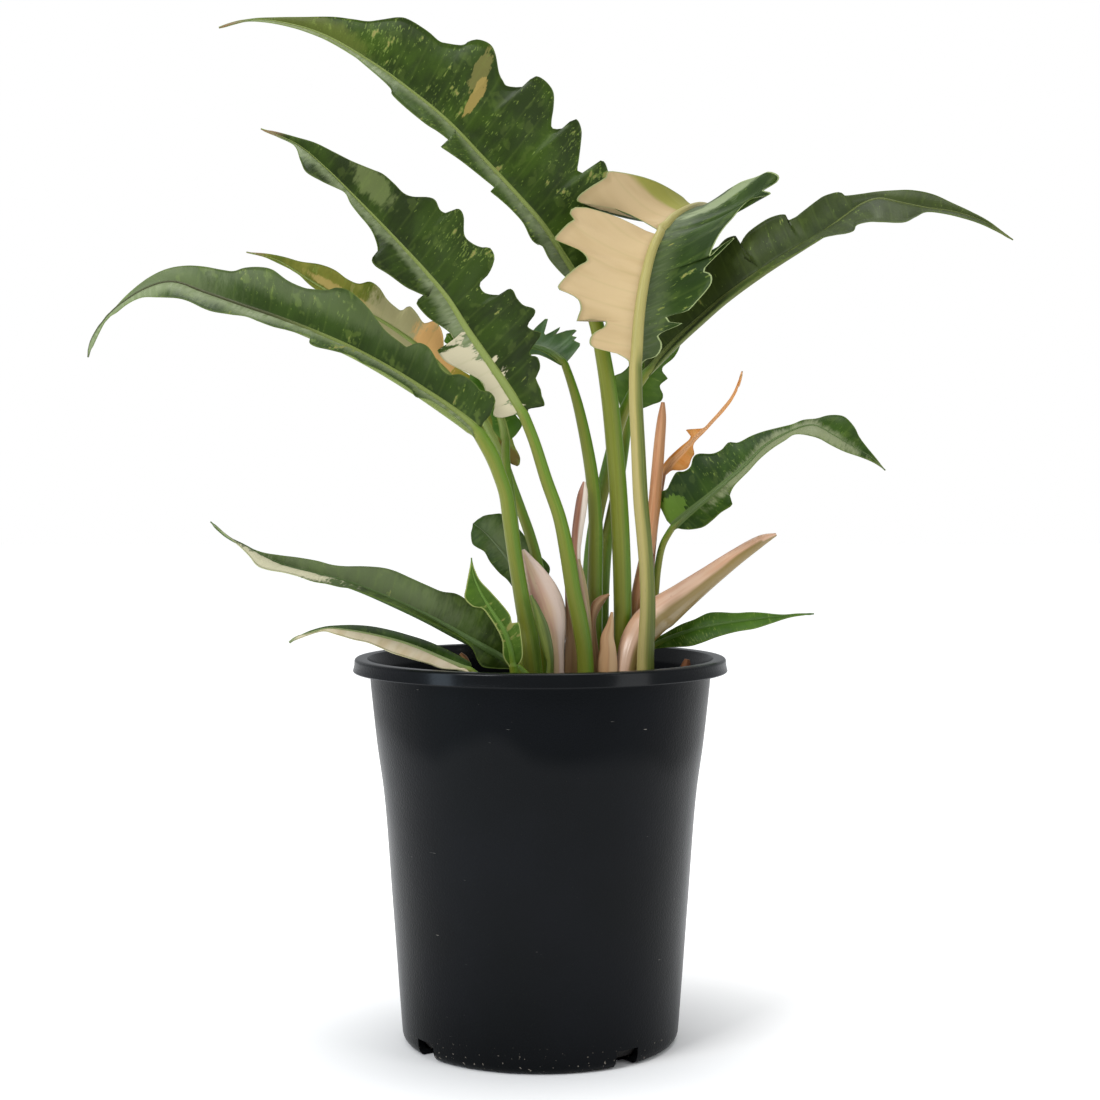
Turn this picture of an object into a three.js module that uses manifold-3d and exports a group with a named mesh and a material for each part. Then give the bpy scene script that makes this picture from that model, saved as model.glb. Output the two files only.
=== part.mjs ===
// Ring of fire philodendron in a plain nursery pot, millimetres, +Z up.
// Origin at the bottom centre of the pot, +X to the right and +Y away from the front.
import * as THREE from 'three';
import { mergeVertices } from 'three/addons/utils/BufferGeometryUtils.js';
import Module from 'manifold-3d';

const wasm = await Module();
wasm.setup();

// Driving dimensions of the pot
const RIM_RADIUS = 99.5;
const POT_HEIGHT = 205;
const LIP_RADIUS = 100.3;
const LIP_DEPTH = 7.2;
const LIP_WALL = 1.8;
const MOUTH_RADIUS = 92.4;
const NECK_RADIUS = 91.4;
const WALL = 1.8;
const FLOOR = 3;
const FOOT_RADIUS = 72.4;
const POT_SIDES = 36;
const NOTCH = { width: 14, low: -1, high: 9, deep: 22, turns: [-53, 37, 127, 217] };

// Potting mix
const SOIL_TOP = 184;
const SOIL_GAP = 0.35;
const SOIL_SIDES = 18;
const HOLE_LOW = 157;
const HOLE_HIGH = 190;
const HOLE_GAP = 0.35;
const HOLE_SIDES = 10;

// Blades and stalks
const BLADE = 0.9;
const ROOT_LOW = 157.6;
const ROOT_TOP = 187;
const STALK_STEP = 30;
const BLADE_BULGE = 0.07;
const STATION_GAP = 3.1;
const STATION_SPAN = 13;
const START_SHARE = 0.02;
const TIP_SHARE = 0.03;
const SHEATH_SIDES = 9;
const STALK_ANGLES = [180, 140, 90, 40, 0, -20, -45, -65, -90, -115, -135, -160];

// The outline rows below are [across, up] read on the plane of the pot's axis, as seen from EYE.
// A depth carries such a point along its line of sight, positive away from the front.
const EYE = new THREE.Vector3(5.2, -1050, 295.7);

function seen(across, up, depth) {
  const k = (depth - EYE.y) / -EYE.y;
  return new THREE.Vector3(EYE.x + (across - EYE.x) * k, depth, EYE.z + (up - EYE.z) * k);
}

// Leaves. stalk: [across, up, depth, radius] from the mix up; rib: [across, up, depth] from the
// stalk to the tip; a and b: the two edges, [across, up]; aTilt and bTilt: how fast each half
// goes back (+) or comes forward (-) for each millimetre out from the rib; back: the underside
// faces the front.
const LEAVES = {
  leaf_01: {
    color: 0x3c5a24,
    stalk: [[44, 181, 8, 5.2], [44.3, 220, 8, 5], [43.9, 250, 9, 5], [42.6, 280, 10, 5],
      [40.5, 310, 11, 4.9], [37.6, 340, 12, 4.7], [33.8, 365, 13, 4.3], [29.5, 385, 13, 3.9]],
    rib: [[22, 402, 13, 3.4], [12, 418, 12], [0, 436, 10], [-12, 450, 8], [-30, 469.5, 4],
      [-50, 490.5, -2], [-70, 507, -8], [-90, 521.5, -14], [-114, 535.5, -20], [-135, 542.3, -24],
      [-155, 544.4, -27], [-171, 540.5, -30]],
    a: [[24, 412], [33, 424], [37, 438], [38, 452], [36, 465], [33.5, 470], [30, 469], [24, 464],
      [20, 464.5], [20.5, 470], [21.5, 478], [22, 486], [19.5, 491.8], [16, 491], [12, 487.3],
      [6.5, 487.2], [6, 491], [7, 498], [7, 506], [3.5, 511.5], [-1.5, 514.7], [-5, 513.5], [-9, 509.3],
      [-17.5, 509.5], [-20, 512.5], [-22, 516.5], [-24, 527], [-27, 532], [-33, 534.3], [-38, 533.3],
      [-41.5, 531.3], [-50, 532.3], [-54, 533.5], [-60, 538.5], [-70, 544.8], [-76, 546], [-85, 544.7],
      [-92, 543.8], [-100, 545], [-110, 546.3], [-125, 546], [-140, 545.9], [-155, 545]],
    aTilt: [0.25, 0.4, 0.5, 0.5, 0.3],
    b: [[16, 407], [13, 409], [5, 417.5], [1, 424.5], [-1.5, 425.3], [-5, 428.5], [-9, 437],
      [-15, 443.5], [-22, 450], [-26.5, 454], [-24, 455.5], [-30, 460.5], [-40, 468.5], [-48, 474],
      [-53, 478], [-47, 479], [-54, 485], [-61, 489.5], [-72, 498.5], [-79, 505], [-80, 508.5],
      [-90, 518], [-100, 526.2], [-108, 531], [-116, 535], [-135, 541.4], [-155, 543.9]],
    bTilt: [-1.5, -3, -3.6, -3.2, -1.2],
  },
  leaf_02: {
    color: 0x3a5622,
    gap: 2.3,
    stalk: [[24.5, 181, -17, 4.6], [24, 205, -17, 4.4], [22, 220, -17, 4.5], [17.8, 240, -17.5, 4.2],
      [14.5, 260, -18, 4], [10.2, 280, -19, 3.5], [3.2, 300, -20, 3.3], [-3.1, 320, -22, 3]],
    rib: [[-9, 335, -24, 2.9], [-20, 352, -27], [-30, 366.5, -30], [-40, 381, -33], [-50, 396.5, -36],
      [-60, 408.5, -39], [-70, 419.5, -42], [-85, 435.5, -46], [-100, 451, -50], [-115, 466, -54],
      [-130, 478.5, -58], [-149, 487, -62]],
    a: [[-5, 337.3, 0.005], [1.5, 339, 0.02], [2.2, 341.5, 0.035], [0.5, 346, 0.05], [0, 351],
      [-2.5, 353.5], [0, 360], [-1.5, 365.5], [-5, 366.5], [-5.5, 369], [-2, 374], [0.5, 378.3],
      [-3.5, 379.7], [-6.8, 381.8], [-5.8, 384.6], [-3.4, 387.5], [-2.6, 390], [-4, 391.8], [-9, 393.3],
      [-12.5, 397], [-14.5, 401], [-17, 402], [-20, 399.3], [-24, 398.7], [-30, 400], [-32.5, 404.5],
      [-29, 408], [-26, 413], [-24.5, 419], [-27, 423.8], [-31, 424], [-36, 426], [-40.5, 430.5],
      [-41, 440], [-43, 444], [-46, 444.2], [-50, 442.3], [-53.5, 444], [-56, 449], [-60, 450.7],
      [-68, 451], [-73, 453], [-78, 458], [-84, 463], [-90, 465.5], [-101, 470], [-110, 474.5],
      [-120, 479.5], [-130, 482.5], [-140, 485.2]],
    aTilt: [0.3, 0.45, 0.55, 0.5, 0.3],
    b: [[-12, 334.8], [-15, 334.5], [-20, 333], [-25, 334.5], [-24.5, 341], [-29, 347], [-31, 352],
      [-36, 355.5], [-44, 359.5], [-51, 363.5], [-55, 369.5], [-51, 371.8], [-46, 373.5], [-48, 378],
      [-53, 382], [-60, 387], [-66, 394], [-65, 396.6], [-60, 397.3], [-66, 400], [-72, 403],
      [-80, 409], [-88, 414], [-90, 418], [-87, 421.5], [-87.5, 427], [-90.5, 434], [-97, 442],
      [-101, 447.5], [-104, 453], [-109, 456], [-117, 459.5], [-125, 464], [-128, 470], [-131, 478],
      [-140, 482.7]],
    bTilt: [-0.15, -0.25, -1.6, -2.4, -1.2],
  },
  leaf_03: {
    color: 0x45602c,
    stalk: [[-3, 181, -21, 5], [-5, 210, -22, 4.8], [-6.5, 220, -22, 4.6], [-8.8, 230, -23, 4.3],
      [-11.4, 245, -24, 4], [-13.8, 260, -25, 3.9], [-16.3, 278, -27, 3.9], [-18.4, 292, -29, 3.7],
      [-22, 303, -31, 3.6], [-26, 313, -33, 3.8]],
    rib: [[-33, 325, -36, 3.4], [-42, 332.5, -39], [-60, 345, -44], [-80, 357.5, -50],
      [-100, 368.5, -56], [-120, 377.5, -61], [-140, 385.5, -65], [-160, 392.5, -68],
      [-180, 399.5, -70], [-196, 405, -71], [-210, 402, -71], [-225, 393, -70], [-234, 384, -69.5],
      [-240, 374.5, -69], [-242, 365.5, -68]],
    a: [[-31, 327], [-29.5, 331], [-26, 334], [-23.5, 338], [-24, 343], [-27, 347], [-32, 348],
      [-34, 350.5], [-38, 354], [-43, 356.5], [-49, 356.3], [-53.5, 360], [-56.5, 366], [-60, 371],
      [-65, 373.3], [-69.5, 371.8], [-71.5, 371], [-75, 373.5], [-82, 379], [-87, 385], [-91, 390.5],
      [-97, 397], [-103, 401.5], [-109, 402.6], [-114, 401.3], [-122, 401.8], [-127, 402.8],
      [-135, 406.5], [-143, 412], [-150, 413.4], [-158, 413], [-164, 411.3], [-170, 412], [-180, 413.8],
      [-190, 414.3], [-200, 412.5], [-210, 407.5], [-220, 399.6], [-228, 391.3], [-234, 384.7]],
    aTilt: [0.05, 0.2, 0.6, 0.6, 0.2],
    b: [[-35, 323.5], [-42, 330.5], [-50, 336.7], [-60, 342.8], [-66.5, 344.4], [-70, 349],
      [-80, 355.5], [-88, 359.8], [-95, 362.5], [-100, 366], [-106, 368], [-113, 369.8], [-120, 371.3],
      [-123.5, 373.3], [-123, 376.5], [-128, 377.8], [-136, 380], [-143, 381.8], [-150, 384.8],
      [-157, 387.5], [-165, 388.3], [-174, 389.5], [-180, 391.5], [-188, 395.5], [-195, 397.3],
      [-205, 397.6], [-213, 397.2], [-220, 394.3], [-226, 389.8], [-233, 384]],
    bTilt: [-0.8, -2.2, -3.2, -2.6, -0.8],
    bReach: [0, -18, -12, 0, 0, 0],
  },
  leaf_04: {
    color: 0x8f8a4a,
    stalk: [[2.5, 181, -1, 3.5], [1.5, 235, -1, 3.2], [-1.5, 255, 0, 3], [-5.5, 270, 1, 2.9],
      [-10.8, 285, 2, 2.8], [-15.5, 298, 2, 2.7]],
    rib: [[-19, 309, 3, 2.4], [-25, 322, 6], [-34, 338, 8], [-50, 357, 7], [-65, 371, 5], [-82, 383, 2],
      [-100, 393, -2], [-120, 404.5, -6], [-140, 416.8, -10], [-157, 421.5, -14]],
    a: [[-15.5, 305.3, 0.003], [-11.8, 307, 0.02], [-10.8, 310.5, 0.037], [-11.5, 313.5, 0.054],
      [-13.8, 318, 0.075], [-15.5, 324], [-24, 341], [-32, 351], [-38, 356], [-46, 361], [-51, 368],
      [-52, 377], [-54, 382.3], [-58, 385], [-61, 383.7], [-63, 384.5], [-66, 389], [-70, 392.8],
      [-74, 390.5], [-77, 392], [-82, 396.5], [-86, 402.5], [-91, 405.8], [-97, 404.7], [-103, 407],
      [-110, 412], [-118, 415], [-128, 416.5], [-137, 419], [-146, 420.7]],
    aTilt: [0.1, 0.2, 0.3, 0.3, 0.2],
    b: [[-20, 307], [-25, 312], [-30, 322], [-34, 331], [-44, 344], [-56, 354], [-66, 362], [-76, 366],
      [-88, 376], [-98, 386], [-108, 394], [-122, 403], [-130, 410.2], [-140, 415.5], [-149, 419.5]],
    bTilt: [0.1, 0.1, -0.2, -0.3, -0.3],
  },
  leaf_05: {
    color: 0xd8c493,
    back: true,
    gap: 1.9,
    stalk: [[56.5, 181, -17, 4.8], [56.6, 205, -17, 4.6], [57.7, 230, -17, 4.2], [57.2, 250, -17, 4],
      [55.6, 270, -17, 4], [53.8, 290, -17, 4], [52.3, 320, -17, 3.8], [51.2, 342, -16, 3.7]],
    rib: [[51, 361, -15, 3.5], [52.5, 385, -13], [55, 403, -10], [59, 420, -4], [64, 431, 4],
      [71, 439, 16], [79, 444, 34], [86, 446, 60], [92, 445, 90], [97, 441, 120], [99, 436, 145]],
    a: [[54.5, 362], [58, 364.5, 0.015], [62.3, 366, 0.025], [65, 370.5, 0.035], [64.6, 374, 0.045],
      [63, 377, 0.055], [66.5, 379.3, 0.063], [70.5, 381, 0.07], [76, 383.7, 0.08], [70, 384, 0.088],
      [67.5, 387, 0.094], [73, 388.7, 0.1], [79, 390.3, 0.108], [83.5, 395, 0.118], [88, 400, 0.13],
      [91.5, 405, 0.143], [91.3, 409.8, 0.156], [87.5, 412.2, 0.166], [96, 421.2, 0.18],
      [104.3, 429.5, 0.19], [97, 425, 0.2], [91, 419.3, 0.212], [92.5, 424.5, 0.228],
      [95.5, 430.5, 0.245], [99, 435.5, 0.262], [103, 440, 0.28], [108, 446, 0.296], [113, 449.8, 0.31],
      [121, 451.5, 0.325], [123, 453, 0.335], [119, 454, 0.345], [121, 455.7, 0.355],
      [126, 458.5, 0.365], [127.3, 462, 0.38], [122, 464, 0.395], [116, 461.5, 0.41],
      [106, 458, 0.44], [98, 452, 0.5], [103, 447.5, 0.66], [102, 443, 0.82], [101, 438.5, 0.93]],
    aTilt: [0.35, 0.2, 0.1, 0, 0, 0, 0],
    b: [[48, 362], [43, 366.5], [37, 368.5], [30, 370], [26.5, 372.5], [27, 376.5], [30, 379.5],
      [34, 381.5], [34.5, 385], [27, 385.8], [19.5, 384.5], [21.5, 391], [20, 396.5], [14, 400],
      [9.2, 402.5], [13.5, 408.5], [20, 414], [25, 417.3], [21, 422.5], [13, 426], [7.5, 428.3],
      [10.5, 432.5], [15, 437], [18, 439], [15.5, 442.5], [18, 445], [23, 445.6, 0.3], [40, 440.6, 0.315],
      [59.5, 431.6, 0.33], [62.5, 433.4, 0.36], [42, 443.8, 0.375], [23, 447.3, 0.385],
      [19.5, 449.5, 0.395], [22, 452.8, 0.405], [28, 457, 0.415], [34.5, 461, 0.425],
      [36, 464.3, 0.435], [43.5, 463.7, 0.45], [50, 462.5, 0.465], [56, 461, 0.48], [63, 458.5, 0.5],
      [70, 454.5, 0.525], [77, 449.5, 0.56], [77, 447, 0.64], [73, 445, 0.74], [77, 442, 0.85],
      [88, 439, 0.94]],
    bTilt: [-0.1, -0.15, -0.3, -0.6, -0.3, 0, 0],
  },
  leaf_06: {
    color: 0x44582b,
    gap: 2.2,
    stalk: [[27, 181, 30, 4.2], [27, 225, 30, 4.1], [26.5, 245, 29, 4], [27.5, 262, 28, 3.9],
      [30.5, 282, 27, 3.8], [34, 297, 26, 3.7], [37.5, 312, 25, 3.5], [42, 329, 24, 3.3],
      [49, 345.5, 23.5, 2.9]],
    rib: [[56.5, 356.8, 23.5, 2.6], [70, 371.2, 22], [85, 385, 19], [100, 397.8, 15], [120, 412, 8],
      [140, 424.6, -1], [152, 432, -8], [163, 440, -14], [172, 446.5, -19], [181, 449.3, -23],
      [192, 447.3, -27], [206, 444.6, -31], [222, 442.3, -35], [238, 436.8, -39], [252.5, 428, -42]],
    a: [[55, 362], [57, 372], [62, 384], [72, 397], [82, 409], [90, 418], [96, 425.5], [100, 429],
      [104.7, 430], [104, 425.5], [105, 420.6], [107, 426], [111, 432], [120, 438.5], [127, 441.3],
      [131.2, 441.3], [131.3, 438.3], [136, 440], [140, 443], [148, 449], [152, 451.5], [158, 453.3],
      [161, 453], [162.5, 451.6], [170, 452.3], [180, 453.7], [190, 454.5], [197, 454.6], [205, 453.5],
      [212, 451.5], [220, 447.7], [230, 443], [240, 437.6]],
    aTilt: [0.3, 0.4, 0.5, 0.5, 0.2],
    b: [[61.5, 359.5], [70, 369.3], [80, 378.6], [90, 387.8], [100, 396.3], [110, 404], [120, 410.8],
      [130, 417.2], [140, 423], [150, 428.8], [157, 430.4], [163, 431.3], [167.5, 433], [169, 436],
      [176, 437.8], [183, 437.4], [190, 437.2], [196, 437.7], [201, 440.5], [206, 443], [215, 442.2],
      [225, 439.8], [237, 435.8]],
    bTilt: [-0.3, -1, -3, -2.2, -0.6],
    bReach: [0, -8, -24, -16, -4, 0],
  },
  leaf_07: {
    color: 0x3b5c26,
    stalk: [[55, 181, 25, 2.2], [57, 205, 25, 2.1], [61, 232, 25, 2.1], [63, 252, 23.5, 2],
      [65.7, 265, 21, 1.9]],
    rib: [[71, 274.5, 18, 1.8], [80, 282, 14], [90, 290, 8], [100, 298.5, 3], [110, 307, -2],
      [120, 317, -6], [130, 323.5, -9], [140, 327.8, -12], [148, 328.5, -15], [158, 323, -19],
      [168, 317.5, -22], [177, 312, -25], [185, 305, -27]],
    a: [[68, 276.5], [63.5, 280], [62.8, 286], [64.5, 293], [68, 295], [70, 299], [73, 304],
      [77, 304.5], [80.5, 307], [82, 312], [85, 314], [92, 314], [97, 316], [101, 320], [106, 320],
      [113, 323.5], [120, 326], [128, 328], [135, 329.7], [141, 332], [148, 332.7], [154, 334.3],
      [160, 334.5], [164, 333], [168.5, 328], [171, 323], [175, 317.5], [180, 311.5]],
    aTilt: [0.2, 0.3, 0.4, 0.6, 0.2],
    b: [[74, 273.7], [80, 273.2], [87, 274.5], [92, 278], [97, 282.5], [102, 285.7], [103, 288],
      [101.5, 291], [103.5, 296], [108, 301], [112, 305], [117, 310.5], [124, 316.5], [131, 321],
      [137, 324.3], [148, 322.8], [156, 318.5], [163, 315], [172, 312], [179, 309]],
    bTilt: [-0.4, -1.2, -2.2, -1.2, -0.5],
  },
  leaf_08: {
    color: 0x2f4d20,
    stalk: [[33, 181, 21, 4], [33, 215, 22, 3.9], [33.5, 240, 24, 3.7], [35.5, 265, 27, 3.3],
      [39, 285, 30, 2.9], [43, 303, 33, 2.6], [45.7, 320, 35, 2.3]],
    rib: [[47, 333, 36, 2.1], [51, 346, 36], [56, 359, 37], [62, 373, 39], [68, 388, 42]],
    a: [[52, 337], [60, 340.2], [64.5, 342], [65.7, 345.5], [64, 350.3], [68.3, 354.3], [66.3, 356.5],
      [65.5, 360], [72, 366], [75, 374], [72, 382]],
    aTilt: [0.2, 0.3, 0.2],
    b: [[43.5, 336], [42, 342], [40, 349], [39.3, 355], [44, 357.5], [48, 362], [51, 371], [58, 381]],
    bTilt: [0.3, 0.3, 0.2],
  },
  leaf_09: {
    color: 0x3f6030,
    back: true,
    gap: 1.3,
    stalk: [[29, 181, 9, 4.4], [29.2, 230, 9, 4.3], [29.6, 255, 9, 4.1], [29.8, 272, 9, 3.9],
      [29, 289, 9, 3.7], [27.2, 305, 9, 3.5], [24.2, 322, 9, 3.2], [20.4, 339, 10, 2.8],
      [16.6, 352, 11, 2.4]],
    rib: [[13, 362.2, 13, 2.1], [8.5, 366, 15], [3, 369.3, 18], [-3, 371, 22], [-12, 371, 27],
      [-24, 368.5, 32], [-36, 364, 36]],
    a: [[15.5, 364, 0.01], [18.5, 368, 0.03], [21.3, 371.8, 0.06], [20.8, 373.4, 0.085],
      [17.5, 374.6, 0.11], [19.6, 376.6, 0.14], [16, 377.2, 0.165], [19.7, 380.3, 0.2],
      [13, 379.6, 0.235], [7, 377.2, 0.27], [11.5, 382, 0.3], [5, 378.4, 0.33], [2, 377.8, 0.36],
      [4, 386.3, 0.41], [-1.5, 382, 0.45], [-5, 379, 0.5], [-11, 382], [-16, 379], [-24, 378],
      [-31, 371]],
    aTilt: [0.7, 0.5, 0.3],
    b: [[10.5, 361.3], [5, 364.4], [1, 366.2], [-2, 367], [-6, 366.6], [-14, 363.5], [-22, 361],
      [-32, 360]],
    bTilt: [-0.4, -0.6, -0.4],
  },
  leaf_10: {
    color: 0x3c5a28,
    stalk: [[-3, 181, -38, 3], [-6.5, 192, -40, 2.9]],
    rib: [[-13, 199, -43, 2.7], [-22, 205, -47], [-31, 210, -50], [-42, 215.8, -53], [-60, 225.5, -58],
      [-80, 234.8, -63], [-100, 243, -68], [-120, 248.8, -72], [-140, 254.5, -75], [-158, 264, -77],
      [-168, 269.5, -78], [-177, 277.5, -79]],
    a: [[-12, 206], [-12, 216], [-17, 224], [-25, 229], [-33, 231.5], [-38, 233.5], [-41, 236.5],
      [-46, 239], [-53, 240], [-60, 243], [-70, 247.5], [-78, 251], [-85, 252.8], [-95, 253.5],
      [-105, 253.5], [-112, 254.3], [-120, 256.5], [-130, 258.3], [-140, 259.5], [-150, 261.3],
      [-160, 265.5], [-169, 270.3]],
    aTilt: [0.1, 0.3, 0.5, 0.5, 0.2],
    b: [[-16, 198.3], [-24, 198.5], [-31, 199.5], [-34, 203.5], [-36.5, 209], [-42, 214.2], [-52, 220],
      [-62, 225], [-72, 229.8], [-84, 235], [-100, 241.2], [-108, 242.5], [-115, 244.3], [-122, 245.5],
      [-130, 248], [-138, 250], [-146, 251.6], [-152, 254], [-156, 259], [-161, 264]],
    bTilt: [-0.2, -0.4, -2, -2.4, -0.6],
    bReach: [0, -2, -16, -16, -6, 0],
  },
  leaf_11: {
    color: 0x44642c,
    stalk: [[-22, 181, -52, 2.6], [-28, 189, -54, 2.4]],
    rib: [[-38, 197.5, -57, 2.1], [-50, 202.3, -60], [-62, 207.5, -63], [-74, 212, -66],
      [-88, 215.8, -69], [-102, 218.5, -72], [-114, 219.8, -74], [-124, 217.6, -76], [-131, 215.3, -77],
      [-135, 212.5, -78]],
    a: [[-35, 200], [-40, 203.5], [-47, 207], [-60, 212.7], [-70, 216.2], [-80, 219], [-90, 221],
      [-100, 221.7], [-110, 221.6], [-117, 220.8], [-126, 217.9]],
    aTilt: [1.2, 1.8, 1.6, 0.6],
    b: [[-44, 197.8], [-53, 198.7], [-60, 201.3], [-70, 204], [-80, 207], [-86, 209.7], [-93, 212.7],
      [-101, 214.4], [-110, 217], [-117, 218.6], [-126, 216]],
    bTilt: [-1.2, -1.8, -1.6, -0.6],
  },
  leaf_12: {
    color: 0x5a7d2c,
    stalk: [[-13, 181, -54, 2.6], [-13.5, 192, -54, 2.4]],
    rib: [[-14.5, 200, -55, 2.2], [-16.5, 210, -56], [-20, 219.5, -57.5], [-26, 229, -59],
      [-32, 239, -61], [-36, 249, -63], [-37, 258, -65]],
    a: [[-12, 200], [-9.5, 205], [-10, 214], [-11.7, 223.5], [-15, 222.7], [-16.3, 227.3], [-20.5, 233],
      [-27, 240.3], [-32.3, 246], [-35.2, 252]],
    aTilt: [-0.1, 0.3, 0.3, 0.2],
    b: [[-17, 200], [-20, 205], [-20.5, 213], [-23.5, 220], [-28, 227], [-31.5, 231], [-36.5, 232],
      [-40.7, 236.5], [-40, 242], [-38.5, 250]],
    bTilt: [-0.2, -0.4, -0.3, 0],
  },
  leaf_13: {
    color: 0x4d6244,
    stalk: [[3, 181, 8, 2.6], [2, 205, 9, 2.5], [0, 222, 10, 2.4]],
    rib: [[-4, 236, 12, 2.2], [-12, 249, 14], [-21, 262, 17], [-29, 271, 20], [-36, 276.5, 23]],
    a: [[-1, 240], [3.5, 247], [5.2, 252], [3, 256], [-3, 262], [-10, 272], [-19, 281], [-26, 281.3],
      [-31, 280.3], [-35, 278.7]],
    aTilt: [0.3, 0.4, 0.2],
    b: [[-9, 238], [-14, 241.5], [-18, 246.5], [-22, 250], [-27, 256], [-30, 261.3], [-34, 263.7],
      [-36.6, 266], [-37.2, 272]],
    bTilt: [-0.2, -0.3, -0.1],
  },
  leaf_14: {
    color: 0x3f6a26,
    stalk: [[55, 181, 12.5, 2.2], [56.5, 198, 13, 2.1]],
    rib: [[60, 210.5, 14, 1.9], [70, 215, 13.5], [82, 219, 12], [96, 222, 9], [112, 224.3, 5],
      [128, 226.3, 1], [140, 227.6, -2], [147, 228, -4]],
    a: [[60, 213.5], [66, 217], [75, 222], [83, 225], [90, 228.3], [96, 228.9], [105, 228.4],
      [113, 228.8], [120, 228.5], [130, 227.6], [139, 228.2]],
    aTilt: [0.4, 0.8, 0.4],
    b: [[63, 209.3], [70, 210], [80, 210.5], [87, 212.5], [95, 215.5], [105, 218.3], [115, 220],
      [123, 222.5], [133, 225.7], [141, 227.2]],
    bTilt: [-0.4, -0.8, -0.4],
  },
  leaf_15: {
    color: 0x35582a,
    stalk: [[-8, 181, -9, 3.2], [-9, 215, -9, 3], [-11, 245, -9, 2.8], [-14, 275, -11, 2.5],
      [-16.5, 295, -13, 2.4], [-18.3, 309, -13, 2.3]],
    rib: [[-18.5, 321, -13, 2.2], [-20.5, 331, -13], [-25, 343, -12], [-32, 354, -12], [-41, 366, -11],
      [-50, 378, -11]],
    a: [[-15, 321.6], [-11.5, 326], [-9.7, 330], [-13, 334.5], [-17, 341], [-22, 352], [-31, 362],
      [-39, 373], [-46, 379.5]],
    aTilt: [0.2, 0.2, 0.1],
    b: [[-22, 322.5], [-25.3, 327], [-26.3, 333], [-31, 344], [-38, 350], [-38, 357], [-45, 362],
      [-47.5, 370.5], [-51.5, 374]],
    bTilt: [0.1, 0.1, 0.1],
  },
  leaf_withered: {
    color: 0xb87a3a,
    stalk: [[58, 181, 35, 1.6], [58.5, 230, 33, 1.4], [61.5, 270, 30, 1.3], [64.5, 292, 27, 1.2]],
    rib: [[66.5, 303, 25, 1], [71, 309, 23], [76.5, 314.5, 21], [81.5, 320, 19], [86, 324.8, 17],
      [91, 329.8, 15], [97, 336.5, 12], [102, 343, 9], [105.8, 350, 7], [108, 358, 5]],
    a: [[65.5, 307.5], [69, 312], [75, 317.5], [79.8, 321.5], [80.5, 324], [78, 326.6], [84, 327.3],
      [87.5, 327.8], [91, 331.3], [97, 338], [103, 346]],
    aTilt: [0.3, 0.5, 0.5, 0.2],
    b: [[68, 303], [70.5, 305], [75, 305], [79, 306.5], [81, 311.5], [82.5, 314], [81.8, 317.5],
      [83, 320.5], [88, 325.5], [94, 332], [99, 337.5], [104, 345]],
    bTilt: [-0.6, -1, -0.6, -0.2],
  },
};

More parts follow.
